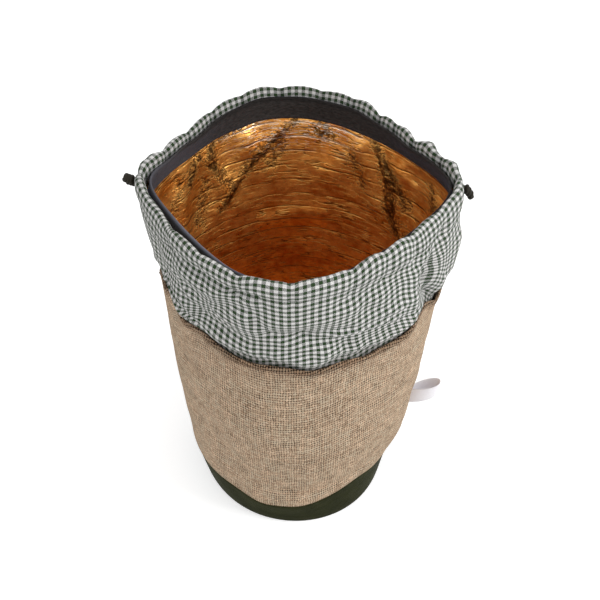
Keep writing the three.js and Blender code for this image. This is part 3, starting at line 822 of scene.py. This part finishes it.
# Middle level of each round piece, and its inset from the outline of the base.
BASE_LEVEL, BASE_INSET = 0.9, 4.6
FLOOR_LEVEL, FLOOR_INSET = 3.0, 8.0
FLOOR_RELIEF, FLOOR_WRINKLES = 1.2, (14, 11)  # height of its wrinkles, and their spacing

BASE_SECTION = [
    (0.65, 4.6), (0.65, 2.2), (1.6, 0.8), (4, 0.6), (10, 0.6), (18, 0.6), (SEAM - 6, 0.6), (SEAM - 2, 0.7),
    (SEAM + 1, 2.4), (SEAM + 9, 2.6),
]
JUTE_SECTION = [
    (SEAM + 8, 1.9), (SEAM + 2, 1.9), (SEAM + 0.4, 1.2), (SEAM + 0.4, 0.2), (SEAM + 3, -0.6),
    (SEAM + 10, -0.5), (SEAM + 20, 0.4), (107, 0.6), (180, 0.6), (230, 0.6), (JUTE_EDGE - 8, 0.6),
    (JUTE_EDGE - 3, 0.5), (JUTE_EDGE, 1.0), (JUTE_EDGE, 2.2), (JUTE_EDGE - 3, 2.7),
    (JUTE_EDGE - HEM_DEPTH, 2.7),
]
COLLAR_SECTION = [
    (JUTE_EDGE - 20, 4.4), (JUTE_EDGE - 4, 4.6), (JUTE_EDGE + 2, 4.8), (JUTE_EDGE + 6, 3.6),
    (JUTE_EDGE + 9.5, 0.8), (JUTE_EDGE + 14, -1.6), (JUTE_EDGE + 21, -1.8), (JUTE_EDGE + 29, -0.6),
    (322, 0.3), (337, 0.4), (354, 0.4), (FACING_BOTTOM, 0.3), (CASING_SEAM - 3, 0.5),
    (CASING_SEAM, 1.6), (CASING_SEAM + 3, 0.0), (CASING_SEAM + 8, -0.9), (RIM - 5, -0.7), (RIM, 0.6),
    (RIM + 2.2, 3.0), (RIM + 2.4, 5.6), (RIM - 0.5, 7.8), (RIM - 6, 8.6), (RIM - 11, 8.0),
    (CASING_SEAM + 3, 5.6), (CASING_SEAM, 3.6), (CASING_SEAM - 1.5, 3.5),
]
FELT_SECTION = [
    (FACING_BOTTOM, 5.4), (FACING_BOTTOM + 5, 5.6), (FACING_TOP - 6, 9.1), (FACING_TOP - 0.8, 9.8),
    (FACING_TOP, 10.8), (FACING_TOP - 0.8, 12.0), (FACING_TOP - 6, 11.5), (FACING_BOTTOM + 5, 7.9),
    (FACING_BOTTOM, 7.6), (FACING_BOTTOM - 0.4, 6.5),
]
LINING_SECTION = [
    (3.2, 7.0), (18, 6), (SEAM, 5.6), (107, 5.6), (180, 5.6), (230, 6.0), (JUTE_EDGE - 22, 6.4),
    (JUTE_EDGE + 4, 6.4), (308, 5), (322, 4), (337, 3.4), (FACING_BOTTOM, 3.4), (RIM - 22, 3.4),
]


# How far the hessian's top edge stands away from the collar.
FLARE = table("azimuth width out", [
    (-64, 10, 3.0), (-86, 8, -1.2), (-44, 8, 1.2), (-17, 8, 1.2), (33, 5, 2.6), (58, 7, 1.0), (71, 6, 3.2),
    (88, 9, 2.0), (140, 14, 1.5), (215, 16, 1.5), (270, 10, 1.0),
])
EDGE_FLARE = 0.8  # all the way round
FLARE_DEPTH = 18  # how far down the cloth it reaches
JUTE_WANDER = 0.6  # slow unevenness of the hessian, in patches about 40 long and 26 high

# Drags and small folds that only the hessian's own cloth shows.
HESSIAN_DRAGS = table(FOLD_COLUMNS, [
    (-80, 236, -40, 214, 5, -0.9),
    (-76, 222, -46, 204, 4, 0.8),
    (-72, 205, -38, 192, 5, -0.9),
    (-66, 188, -34, 180, 4, 0.6),
    (-62, 150, -30, 118, 7, -1.2),
    (-50, 96, -20, 70, 6, 1.0),
    (-8, 72, 30, 66, 6, 1.0),
    (-16, 84, 36, 80, 6, -1.0),
    (34, 84, 62, 104, 6, -1.2),
    (40, 74, 70, 92, 5, 1.2),
    (18, 246, 62, 250, 6, -0.8),
    (30, 206, 74, 216, 8, -1.2),
    (-24, 250, 10, 246, 6, -0.7),
    (60, 150, 84, 168, 6, 1.0),
    (87, 262, 88, 70, 3.5, 0.8),
])


def hessian_relief(azimuth, level, inset):
    """The flare of the top edge, and small drags below it."""
    flare = EDGE_FLARE + sum_of(FLARE, "out", azimuth)
    inset = inset - flare * smooth_step(level, JUTE_EDGE - FLARE_DEPTH, JUTE_EDGE)
    inset = inset - folds_at(HESSIAN_DRAGS, azimuth, level)
    around = np.radians(azimuth)
    places = zip(np.cos(around) * 3, np.sin(around) * 3, level / 26)
    wander = np.array([noise.noise(Vector(place)) for place in places])
    outside = smooth_step(level, SEAM + 4, SEAM + 12)
    return level, inset - JUTE_WANDER * wander * outside


# Where the top of the felt, which is stiff, stands away from the casing, and above its usual level.
STAND_OFF = table("azimuth width off rise", [(-56, 32, 6.5, 0), (60, 20, 1.5, 0), (185, 70, 1.5, 2.0)])


def stand_off(azimuth, level, inset):
    """The felt's lean, from nothing at its lower edge to the most at its top."""
    top = smooth_step(level, FACING_BOTTOM, FACING_TOP)
    rise, off = sum_of(STAND_OFF, "rise", azimuth), sum_of(STAND_OFF, "off", azimuth)
    return level + top * rise, inset + top * off


# Puffs and pinches of the casing: rise and puff are negative where the cord draws it in, and tip
# leans its top out over the wall.
CASING_GATHERS = table("azimuth width rise puff tip", [
    (-80, 3, -0.8, -0.2, 0), (-70, 3, 1, 0.15, 0), (-59, 2.5, -1.2, -0.25, 0.6),
    (-50, 4, 0.8, 0.1, 0), (-41, 2.2, -1.2, -0.2, 0.5), (-33, 3, 0.7, 0.1, 0),
    (-22, 2.5, -2.6, -0.35, 0.6), (-13, 4, 0.8, 0.1, 0), (-0.5, 2.4, -2, -0.3, 0.4),
    (9, 4, 0.6, 0.1, 0), (25, 2.5, -2.6, -0.35, 0), (34.5, 4, 1.8, 0.25, 0), (41, 2.0, -1.8, -0.3, 0),
    (49.5, 3.5, 1.8, 0.2, 0), (56, 2.2, -1.6, -0.3, 0), (66, 3, 1, 0.15, 0), (73, 2.4, -1.6, -0.25, 0),
    (84, 3, 1, 0.2, 1.0), (92, 2.0, -2.6, -0.45, 2.0), (98, 2.4, 1.6, 0.2, 2.5),
    (103, 1.8, -2.5, -0.6, 2.0), (110.5, 2.8, 3.8, 0.68, 2.0), (117, 1.8, -3.2, -0.68, 1.0),
    (123, 2.6, 1.8, 0.3, 0.5), (129, 1.8, -1.8, -0.45, 0.5), (138.5, 2.4, -3.8, -0.6, 0.5),
    (146, 3.4, 1.8, 0.3, 0), (153, 2, -1.2, -0.38, 0), (160, 3, 1, 0.15, 0), (168, 2, -1.5, -0.38, 0),
    (177, 4, 1, 0.15, 0), (186, 2.2, -1.8, -0.45, 0), (194, 3, 1, 0.15, 0), (203, 2, -1.5, -0.38, 0),
    (211, 3, 1, 0.22, 0), (219, 2.2, -2, -0.45, 0), (228, 3, 0.8, 0.15, 0), (236, 2, -1.8, -0.45, 0),
    (245, 4, 1.2, 0.22, 0), (252, 2, -1.5, -0.45, 0.5), (258, 3, 2.5, 0.45, 1.0),
    (263, 2.2, 1.2, 0.2, 1.0), (268.5, 1.8, -3.6, -0.5, 0.5), (275, 2.6, 1, 0.15, 0),
])

# How far the casing's seam is above or below its usual level.
SEAM_WANDERS = table("azimuth width rise", [(-38, 26, 5), (-66, 6, -6), (45, 22, -8), (80, 9, -9)])

# Where the collar bulges over the hessian's edge, and is drawn in behind it.
BULGES = table("azimuth width level out", [
    (-67, 10, 306, -3.5), (-50, 6, 302, -1), (-36, 7, 300, 1.5), (-22, 4, 296, -1.2), (-10, 6, 296, 1.5),
    (8, 7, 292, 2.5), (20, 4, 296, -0.8), (33, 4, 296, -2.2), (45, 7, 300, 1.5), (57, 5, 302, 1.5),
    (69.5, 4, 296, -2.6), (82, 8, 302, -2), (120, 12, 300, 1), (150, 10, 300, -1), (185, 14, 300, 1.5),
    (215, 9, 300, -1), (245, 12, 300, 1.5),
])
BULGE_REACH = 9

MOST_GATHER, MOST_PUFF = 2.3, 5.0  # the most that fine folds draw the cloth in, or puff it out
CASING_PUFF = 0.7  # share of a puff that each side of the casing takes
BACK_FLATNESS = 0.3  # how much less the casing puffs at the back

# Fine folds of the collar that only its own cloth shows.
GATHERS = table(FOLD_COLUMNS, [
    (-22, 392, -21, 374, 3.5, -2.0),
    (-24, 378, -14, 381, 3.2, -1.8),
    (-13, 380, -11.5, 371, 3.0, -1.2),
    (-12, 376, -14.5, 350, 8, 2.4),
    (-14.5, 350, -10, 340, 8, 1.7),
    (-17, 364, -9, 332, 3, -1.4),
    (-60, 366, -14, 374, 6, 2.6),
    (-62, 350, -20, 362, 5, -1.8),
    (-30, 346, -12, 338, 8, 2.2),
    (-10, 350, 26, 352, 8, 2.6),
    (-12, 332, 24, 330, 5, -1.8),
    (20, 326, 52, 330, 9, 2.8),
    (18, 303, 56, 306, 5, -1.6),
    (-0.5, 392, 0, 372, 3.5, -1.6),
    (25, 392, 24, 370, 3.5, -1.8),
    (41, 392, 40, 374, 3.5, -1.4),
    (56, 390, 57, 366, 4, -1.8),
    (73, 390, 70, 360, 3.5, -1.8),
    (66, 350, 64, 330, 3, -2.0),
    (64, 330, 68, 296, 3.2, -3.5),
    (57, 330, 55, 300, 4.5, 2.0),
    (74, 318, 76, 298, 4, 2.0),
    (-59, 388, -56, 366, 4, -1.6),
    (-41, 388, -36, 366, 4, -1.4),
    (-56, 360, -44, 334, 5, 1.2),
    (-34, 352, -22, 330, 5, 1.2),
    (-30, 322, -16, 312, 5, -1.2),
    (-8, 318, 10, 306, 4, -1.2),
    (12, 350, 30, 330, 5, 1.0),
    (28, 322, 46, 316, 4, 1.2),
    (30, 350, 40, 338, 5, -1.0),
    (-62, 352, -32, 324, 5, -1.8),
    (-44, 352, -10, 318, 4.5, -1.6),
    (-32, 326, 8, 304, 4.5, -1.8),
    (-2, 322, 32, 312, 4, -2.0),
    (14, 330, 50, 324, 4, -1.8),
    (30, 316, 56, 310, 4, -1.8),
    (-4, 314, 20, 300, 4, 1.6),
    (-58, 330, -34, 306, 5, 1.4),
])


# Cloth taken up in small tucks that run across the collar: level is at the middle of a tuck, slope is
# its rise for each degree, and reach is half its height.
TUCKS = table("azimuth width level slope reach take", [
    (-36, 15, 350, 2.2, 13, 19), (-62, 8, 346, 0, 10, 6), (4, 20, 340, -0.2, 10, 3),
    (6, 26, 342, 0, 24, 9), (38, 17, 306, 0.3, 15, 14), (8, 20, 306, 0, 16, 6),
    (-44, 9, 322, 1.0, 16, 6), (18, 9, 294, 0, 9, 5), (48, 20, 300, 0.2, 20, 7),
    (-46, 8, 372, 0, 12, 7), (47, 8, 360, 0, 8, 7), (66, 7, 352, 0, 18, 22),
    (0, 50, JUTE_EDGE + 9, 0, 6, 4), (120, 14, 345, 0, 10, 8), (160, 14, 330, 0.4, 10, 8),
    (210, 16, 350, -0.3, 10, 8), (250, 12, 335, 0, 10, 8),
])


def taken_up(azimuth, level):
    """Length of the cloth in the tucks above each place."""
    total = 0
    for tuck in TUCKS:
        off = turn(tuck["azimuth"], azimuth)
        line = tuck["level"] + tuck["slope"] * off
        passed = smooth_step(line - level, -tuck["reach"], tuck["reach"])
        total = total + tuck["take"] * bell(off, tuck["width"]) * passed
    return total


DEEPEST_PINCH = 0.45  # a puff of this much below nothing gives the darkest crease
# Painted shade at the back of the casing, in its creases, along its seam and at the left.
BACK_SHADE, CREASE_SHADE, SEAM_SHADE, LEFT_SHADE = 0.3, 0.5, 0.3, 0.12  # from 0, none, to 1, the most


def collar_painted_shade(azimuth, level):
    """Painted shade in the casing at the back, in its gathers and along its seam, and at the left side."""
    in_casing = smooth_step(level, CASING_SEAM - 4, CASING_SEAM + 4)
    pinched = 0
    for row in CASING_GATHERS:
        depth = np.clip(-row["puff"] / DEEPEST_PINCH, 0, 1)
        pinched = pinched + depth * bell(turn(row["azimuth"], azimuth), row["width"] * 0.55)
    back = bell(turn(180, azimuth), 78)
    seam = bell(level - CASING_SEAM, 1.5)
    left_side = bell(turn(-60, azimuth), 38)
    shade = in_casing * back * (BACK_SHADE + CREASE_SHADE * pinched)
    return np.clip(shade + SEAM_SHADE * seam + LEFT_SHADE * left_side, 0, 1)


# Painted light on the felt's top edge and on its whole face: a painted highlight where positive,
# and painted shade where negative, where the casing shades it.
TOP_LIGHT_AND_SHADE = table("azimuth width worn", [(-50, 42, 0.8), (185, 62, -0.7)])
FACE_HIGHLIGHT = table("azimuth width worn", [(250, 25, 0.22)])


def felt_light_and_shade(azimuth, level):
    """Positive where the felt has a painted highlight, negative where it has painted shade."""
    top = smooth_step(level, FACING_TOP - 4, FACING_TOP - 1)
    return top * sum_of(TOP_LIGHT_AND_SHADE, "worn", azimuth) + sum_of(FACE_HIGHLIGHT, "worn", azimuth)


def collar_relief(azimuth, level, inset):
    """Gathers of the casing, drawn in and puffed out about the cord."""
    in_casing = smooth_step(level, CASING_SEAM - 6, CASING_SEAM + 8)
    wander = sum_of(SEAM_WANDERS, "rise", azimuth) * bell(level - CASING_SEAM, 13)
    puff = sum_of(CASING_GATHERS, "puff", azimuth) - BACK_FLATNESS * bell(turn(185, azimuth), 75)
    inset = inset + (inset - CORD_INSET) * puff * in_casing * CASING_PUFF
    inset = inset - sum_of(CASING_GATHERS, "tip", azimuth) * smooth_step(level, CASING_SEAM, RIM)
    gathers = folds_at(GATHERS, azimuth, level)
    most = np.where(gathers < 0, MOST_GATHER, MOST_PUFF)
    inset = inset - most * np.tanh(gathers / most)
    for bulge in BULGES:
        beside = bell(turn(bulge["azimuth"], azimuth), bulge["width"])
        inset = inset - bulge["out"] * beside * bell(level - bulge["level"], BULGE_REACH)
    return level + wander + sum_of(CASING_GATHERS, "rise", azimuth) * in_casing, inset


def crinkle(azimuth, level, length, height, seed):
    """Ridges of crumpled film, longer round the bag than up it: 0 to 1, sharp at the top."""
    around = np.radians(azimuth)
    places = np.stack([
        FOLD_RADIUS / length * np.cos(around) + seed, FOLD_RADIUS / length * np.sin(around),
        level / height], axis=-1)
    return np.array([1 - abs(noise.noise(Vector(p))) * 2 for p in places])


# Sharp creases of the foil.
FOIL_CREASES = table(FOLD_COLUMNS, [
    (222, 372, 222, 300, 3, 2.5),
    (228, 368, 238, 340, 3, 2.5),
    (177, 372, 196, 341, 4, 3.5),
    (196, 341, 226, 292, 4, 3.5),
    (139, 366, 131, 336, 3.5, 3),
    (131, 336, 128, 305, 3.5, 3),
    (130, 350, 117, 338, 3, 2.5),
    (167, 366, 169, 350, 2.5, 2),
])


# Where the foil is crumpled, with painted shade in its creases and blots: strength is from 0 to 1.
CRUMPLES = table("azimuth level to_azimuth to_level width strength", [
    (222, 368, 224, 350, 6, 1.0), (231, 362, 238, 344, 6, 1.0), (224, 350, 216, 318, 6, 0.8),
    (216, 370, 206, 372, 5, 0.9), (180, 366, 196, 341, 5, 0.9), (196, 341, 222, 296, 5, 1.0),
    (186, 346, 192, 326, 7, 0.8), (139, 366, 131, 334, 5, 1.0), (131, 334, 127, 300, 7, 1.0),
    (134, 346, 119, 314, 6, 1.0), (127, 300, 118, 276, 9, 0.8), (167, 368, 166, 358, 6, 0.9),
    (172, 360, 160, 356, 4, 0.8), (150, 342, 143, 316, 6, 0.7), (228, 330, 236, 296, 8, 0.7),
    (244, 352, 250, 330, 6, 0.6), (108, 350, 104, 330, 6, 0.7),
])


def crumpled_foil(azimuth, level):
    """How crumpled the foil is at each place, from 0 to 1: the strength of its painted shade."""
    strengths = [row["strength"] * bell(off_fold(row, azimuth, level), row["width"]) for row in CRUMPLES]
    return np.clip(sum(strengths), 0, 1)


# Patches where the hessian is pulled more open, and so shows more of the painted shade in its gaps.
OPEN_PATCHES = table("azimuth width level height more", [
    (9, 12, 138, 16, 0.15), (18, 15, 205, 16, 0.12), (-1, 6, 82, 6, 0.16), (-22, 12, 218, 20, 0.1),
    (32, 10, 150, 12, 0.1), (-52, 10, 232, 14, 0.1), (120, 20, 160, 30, 0.1), (200, 24, 120, 30, 0.1),
    (260, 18, 200, 26, 0.1),
])


# Painted shade under the top edge, below it at the front, and at the seam with the canvas.
EDGE_SHADE, BELOW_EDGE_SHADE, CANVAS_SEAM_SHADE = 0.7, 0.16, 0.5  # from 0, none, to 1, the most


def hessian_shade(azimuth, level):
    """Painted shade, dark and brown, just under the folded top edge, thinning out below it at the front,
    and at the seam with the canvas; and the open patches, which show more painted shade in their gaps."""
    edge = bell(level - JUTE_EDGE + 1.5, 5.5)
    below = bell(level - JUTE_EDGE + 12, 14) * bell(turn(-10, azimuth), 45)
    seam = bell(level - SEAM, 2.5)
    opened = 0
    for patch in OPEN_PATCHES:
        beside = bell(turn(patch["azimuth"], azimuth), patch["width"])
        opened = opened + patch["more"] * beside * bell(level - patch["level"], patch["height"])
    return np.clip(EDGE_SHADE * edge + CANVAS_SEAM_SHADE * seam + BELOW_EDGE_SHADE * below + opened, 0, 1)


# Wrinkles all over the foil: seed only sets one layer of them apart from the other.
WRINKLES = table("length height seed depth", [(60, 9, 0, 0.5), (16, 8, 40, 0.4)])


def foil_relief(azimuth, level, inset):
    """Crumples and creases, none of them at the top, where the foil is sewn to the felt."""
    loose = bell(np.maximum(level - FACING_BOTTOM + 14, 0), 14)
    soft = np.maximum(folds_at(LINING_FOLDS, azimuth, level), 0) * loose
    free = (1 - smooth_step(level, FACING_BOTTOM - 8, FACING_BOTTOM)) * smooth_step(level, 3, 20)
    for crease in FOIL_CREASES:
        off = off_fold(crease, azimuth, level)
        soft = soft + crease["depth"] * np.exp(-off / crease["width"]) * free
    for row in WRINKLES:
        ridges = crinkle(azimuth, level, row["length"], row["height"], row["seed"])
        soft = soft + row["depth"] * ridges**3 * free
    return level, inset + soft


def round_cut(inset):
    """Width and area that a round piece is cut to, in metres."""
    radius = (0.5 * girth(0)[-1] / math.pi - inset) * MM
    return 2 * radius, math.pi * radius**2


def disc_sheet(name, count, level, inset, relief=0.0):
    """A round piece with the outline of the base, from a square grid pressed into a circle."""
    def place(s, t):
        x, y = 2 * s - 1, 2 * t - 1
        x, y = x * np.sqrt(1 - y * y / 2), y * np.sqrt(1 - x * x / 2)
        azimuth = np.degrees(np.arctan2(x, -y))
        edge = cloth_point(azimuth, np.zeros_like(x), inset)
        reach = np.hypot(x, y)[:, None]
        points = edge * reach
        places = np.column_stack([points[:, :2] / FLOOR_WRINKLES, np.full(len(points), 7.0)])
        rough = np.array([1 - 2 * abs(noise.noise(Vector(spot))) for spot in places])
        points[:, 2] = level + relief * np.maximum(rough, 0) ** 2
        return points, points[:, :2]

    return grid(name, count, count, place)


POLE_TO_SIDE = Matrix.Rotation(math.pi / 2, 4, "Y")
STITCH_SHARE = 0.72  # of the spacing that a stitch covers
STITCH_GAP = 4  # degrees left at the side seam


def stitch_row(name, slot, material, level, inset, spacing, thickness, side=1):
    """Running stitches round the bag, on the outer side of a cloth or, where side is -1, the inner."""
    count = int(girth(level)[-1] / spacing)
    azimuth = SIDE_SEAM + STITCH_GAP / 2 + (360 - STITCH_GAP) * (np.arange(count) + 0.5) / count
    centre = cloth_point(azimuth, np.full(count, float(level)), inset)
    ahead = cloth_point(azimuth + 0.5, np.full(count, float(level)), inset)
    shape = bmesh.new()
    for point, next_point in zip(centre, ahead):
        run = Vector(next_point - point).normalized()
        out = Vector((point[0], point[1], 0)).normalized() * side
        up = run.cross(out)
        turned = Matrix((run, out, up)).transposed().to_4x4()
        scale = Matrix.Diagonal((spacing * STITCH_SHARE / 2, thickness / 2, thickness / 2, 1))
        spot = Matrix.Translation(Vector(point) * MM) @ turned @ scale
        spot = spot @ Matrix.Diagonal((MM, MM, MM, 1))
        bmesh.ops.create_uvsphere(shape, u_segments=6, v_segments=4, radius=1, matrix=spot @ POLE_TO_SIDE)
    for face in shape.faces:
        face.smooth = True
    mesh = bpy.data.meshes.new(name)
    shape.to_mesh(mesh)
    shape.free()
    return finish_piece(new_object(name, mesh), material, slot)


END_ROUNDING = 60  # a higher power gives the cord squarer ends


def tube(name, path, radius, sides, steps):
    """A round cord along a path of points, with the frame carried along it so that it never twists."""
    line = rounded(path, cuts=2)

    def place(s, t):
        centre, run = evenly(line, t)
        levels, row = np.unique(run, return_inverse=True)
        middle, _ = evenly(line, levels / levels[-1])
        tangent = np.gradient(middle, axis=0)
        tangent /= np.linalg.norm(tangent, axis=1)[:, None]
        side = np.zeros_like(middle)
        side[0] = np.cross(tangent[0], (0.0, 0.0, 1.0))
        for i in range(1, len(middle)):
            side[i] = side[i - 1] - tangent[i] * (side[i - 1] @ tangent[i])
            side[i] /= np.linalg.norm(side[i])
        side[0] /= np.linalg.norm(side[0])
        other = np.cross(tangent, side)
        angle = 2 * math.pi * s
        ends = np.sqrt(np.clip(1 - (2 * t - 1) ** END_ROUNDING, 0, 1))
        reach = (radius * ends)[:, None]
        points = centre + reach * (np.cos(angle)[:, None] * side[row] + np.sin(angle)[:, None] * other[row])
        return points, np.stack([s * 2 * math.pi * radius, run], axis=-1)

    return grid(name, sides, steps, place)


def cord_point(azimuth, inset=CORD_INSET):
    return cloth_point(np.asarray(azimuth, float), np.full(np.shape(azimuth), float(CORD_LEVEL)), inset)


CORD_END = 2.6  # degrees from the left corner to each end
CASING_SQUEEZE = 0.3  # how much thinner the cord's radius is where the casing grips it


def drawcord(material):
    """The cord right round inside the casing, from one side of the left corner to the other."""
    azimuth = CORNERS[1] + np.linspace(CORD_END, 360 - CORD_END, 120)
    path = cord_point(azimuth)
    braid = tube("drawcord_braid", path, CORD_DIAMETER / 2 - CASING_SQUEEZE, sides=10, steps=360)
    return finish_piece(braid, material, "cord", "drawcord")


KNOT_COIL = 3.5  # radius of the turns, at the middle of the cord
KNOT_CORD = 2.1  # radius of the cord, a little fatter out of the casing
KNOT_LENGTH = 9
KNOT_TURNS = 2.9
TURN_POINTS = 30
COIL_TIP, COIL_LENGTH = 1.2, 6.6  # where the turns begin, back from the knot's tip, and how long they run
KNOT_SQUASH = 0.9  # how much flatter the knot is than round


def knot(name, azimuth, start, neck, droop, material, node):
    """A cord end that comes out of its hole and is wound back round itself in a tight stopper knot.
    neck is the length of cord before the knot, and droop is how far its tip hangs."""
    out = Vector((math.sin(math.radians(azimuth)), -math.cos(math.radians(azimuth)), 0))
    across = Vector((-out.y, out.x, 0))
    origin = Vector(cord_point(azimuth, start))
    far = neck + KNOT_LENGTH
    local = [(0, 0, 0), (neck * 0.5, 0, 0), (neck, 0, -0.2), (far - 1, 0.4, -0.4), (far, 2.0, -0.3)]
    for i in range(TURN_POINTS):
        share = i / (TURN_POINTS - 1)
        angle = math.pi / 2 - KNOT_TURNS * 2 * math.pi * share
        run = far - COIL_TIP - COIL_LENGTH * share
        local.append((run, KNOT_COIL * math.sin(angle), KNOT_COIL * math.cos(angle)))
    local.append((local[-1][0] - 1.4, local[-1][1] * 1.3, local[-1][2] * 1.3))
    path = []
    for run, side, up in local:
        sag = droop * (max(run - neck * 0.5, 0) / (far - neck * 0.5)) ** 1.5
        path.append(origin + out * run + across * side + Vector((0, 0, up * KNOT_SQUASH - sag)))
    return finish_piece(tube(name, path, KNOT_CORD, sides=12, steps=180), material, "cord", node)


# The loop of tape. rise and lean are as in a ramp, and flare opens it towards its upper edge.
TAPE = dict(level=103, width=24, reach=34.5, bow=6.2, rise=0.4, lean=0.15, flare=0.12, thickness=0.5)


def loop_of_tape(material):
    """A loop of tape: both ends go into the side seam and the fold stands out from it, rising a
    little. Its root leans with the wall of the bag."""
    reach, bow = TAPE["reach"], TAPE["bow"]
    half = [(-1.5, 0.6), (reach * 0.15, bow * 0.5), (reach * 0.4, bow * 0.95), (reach * 0.7, bow * 1.08),
            (reach * 0.93, bow * 0.8), (reach + 0.5, bow * 0.3)]
    line = rounded(half + [(x, -y) for x, y in reversed(half)])
    aim = np.array(Matrix.Rotation(math.radians(SIDE_SEAM - 90), 3, "Z"))
    root = cloth_point(np.float64(SIDE_SEAM), np.float64(TAPE["level"]), 0)

    def place(s, t):
        rows, run = evenly(line, t)
        height = (s - 0.5) * TAPE["width"]
        flare = 1 + TAPE["flare"] * (2 * s - 1)
        out = rows[:, 0] + TAPE["lean"] * height
        points = np.stack([out, rows[:, 1] * flare, height + TAPE["rise"] * rows[:, 0]], axis=-1)
        return points @ aim.T + root, np.stack([height, run], axis=-1)

    piece = thicken(grid("tape_loop", across=16, along=96, place=place), TAPE["thickness"])
    return finish_piece(piece, material, "tape", "loop_tape")


def cloth_pieces():
    """Every cloth of the bag, from the base up."""
    canvas = canvas_material()
    base = thicken(disc_sheet("canvas_base", 48, BASE_LEVEL, BASE_INSET), CANVAS_BASE)
    width, area = round_cut(BASE_INSET)
    finish_piece(base, canvas, "canvas", "base_disc")

    band = thicken(turned_sheet("canvas_band", 240, 30, BASE_SECTION, at_level=SEAM), CANVAS)
    flat_size(SEAM, BASE_SECTION)
    finish_piece(band, canvas, "canvas", "base_band")

    body = thicken(turned_sheet(
        "hessian_body", 360, 130, JUTE_SECTION, hessian_relief, at_level=JUTE_GIRTH,
        marked=hessian_shade), JUTE)
    flat_size(JUTE_GIRTH, JUTE_SECTION)
    finish_piece(body, jute_material(), "jute", "jute_body")

    collar = thicken(turned_sheet(
        "gingham_collar_cloth", 400, 120, COLLAR_SECTION, collar_relief, straight_at=CASING_SEAM,
        marked=collar_painted_shade, tucked=taken_up), COTTON)
    flat_size(JUTE_EDGE, COLLAR_SECTION)
    finish_piece(collar, gingham_material(), "gingham", "gingham_collar")

    facing = turned_sheet("felt_facing", 300, 28, FELT_SECTION, stand_off, closed=True, marked=felt_light_and_shade)
    width, length = flat_size(JUTE_EDGE, FELT_SECTION, closed=True)
    finish_piece(facing, felt_material(), "felt", "felt_band")

    lining = thicken(turned_sheet(
        "foil_wall", 400, 120, LINING_SECTION, foil_relief, at_level=LINING_GIRTH, marked=crumpled_foil,
        follows_folds=False), FOIL)
    flat_size(LINING_GIRTH, LINING_SECTION)
    finish_piece(lining, foil_material("gold_foil", 1.0), "foil", "lining_wall")

    floor = thicken(disc_sheet("foil_floor", 72, FLOOR_LEVEL, FLOOR_INSET, FLOOR_RELIEF), FOIL)
    width, area = round_cut(FLOOR_INSET)
    finish_piece(floor, foil_material("flat_foil", 0.2), "foil", "lining_floor")


BROWN_THREAD = "#6b5440"
PALE_THREAD = "#c9cfc8"
DARK_THREAD = "#33303a"


def stitching():
    """The rows of stitches that show: along the hem, the casing and the felt's lower edge."""
    stitch_row("hessian_hem_stitches", "jute", thread_material("brown_thread", BROWN_THREAD),
               level=JUTE_EDGE - 5, inset=-1.5, spacing=3.2, thickness=0.7)
    stitch_row("casing_stitches", "gingham", thread_material("pale_thread", PALE_THREAD),
               level=CASING_SEAM, inset=1.0, spacing=2.8, thickness=0.35)
    stitch_row("facing_stitches", "felt", thread_material("dark_thread", DARK_THREAD),
               level=FACING_BOTTOM + 2.5, inset=7.8, spacing=3.0, thickness=0.45, side=-1)


PAPER = "#f4f4f4"
GLOW = 0.45  # of the floor, as the camera sees it
SKY_ON_BAG, SKY_SEEN = 0.55, 1.0  # strength of the world, where it lights the bag and where it shows


def seen_straight(tree):
    """1 on rays from the camera and in reflections and glass, 0 on those that light the bag."""
    seen, mirrored, through = [add(tree, "LightPath", output=i) for i in (0, 3, 6)]
    seen = add(tree, "Math", {0: seen, 1: mirrored}, operation="MAXIMUM")
    return add(tree, "Math", {0: seen, 1: through}, operation="MAXIMUM")


def stage_floor():
    shape = bmesh.new()
    bmesh.ops.create_grid(shape, x_segments=1, y_segments=1, size=6)
    mesh = bpy.data.meshes.new("stage_floor")
    shape.to_mesh(mesh)
    shape.free()
    floor = new_object("stage_floor", mesh)
    material, tree = new_material("white_paper")
    paper = add(tree, "BsdfPrincipled", {"Base Color": linear(PAPER), "Roughness": 0.9})
    glow = add(tree, "Emission", {"Color": (1, 1, 1, 1), "Strength": GLOW})
    both = add(tree, "AddShader", {0: paper, 1: glow})
    shader = add(tree, "MixShader", {0: seen_straight(tree), 1: paper, 2: both})
    add(tree, "OutputMaterial", {"Surface": shader})
    floor.data.materials.append(material)


LIT = Vector((0, 0, 0.25))  # what the lamps aim at


def light(name, size, power, place):
    data = bpy.data.lights.new(name, "AREA")
    data.size = size
    data.energy = power
    lamp = bpy.data.objects.new(name, data)
    lamp.location = place
    lamp.rotation_euler = (LIT - Vector(place)).to_track_quat("-Z", "Y").to_euler()
    bpy.context.scene.collection.objects.link(lamp)


def studio():
    light("key", size=1.0, power=29, place=(1.9, -0.6, 1.4))
    light("fill", size=1.8, power=12, place=(-1.3, -1.4, 1.3))
    light("top", size=1.2, power=5, place=(0.1, -0.2, 2.2))
    world = bpy.data.worlds.new("studio")
    bpy.context.scene.world = world
    world.use_nodes = True
    tree = world.node_tree
    tree.nodes.clear()
    strength = add(tree, "MapRange", {0: seen_straight(tree), 1: 0.0, 2: 1.0, 3: SKY_ON_BAG, 4: SKY_SEEN})
    sky = add(tree, "Background", {"Color": (1, 1, 1, 1), "Strength": strength})
    add(tree, "OutputWorld", {"Surface": sky})
    bpy.context.scene.view_settings.view_transform = "Standard"


cord = cord_material()
drawcord(cord)
knot("right_knot", CORNERS[0], 1.8, neck=3.5, droop=13, material=cord, node="cord_knot_right")
knot("left_knot", CORNERS[1], 4.1, neck=5.0, droop=-4, material=cord, node="cord_knot_left")
cloth_pieces()
loop_of_tape(tape_material())
stitching()
stage_floor()
studio()
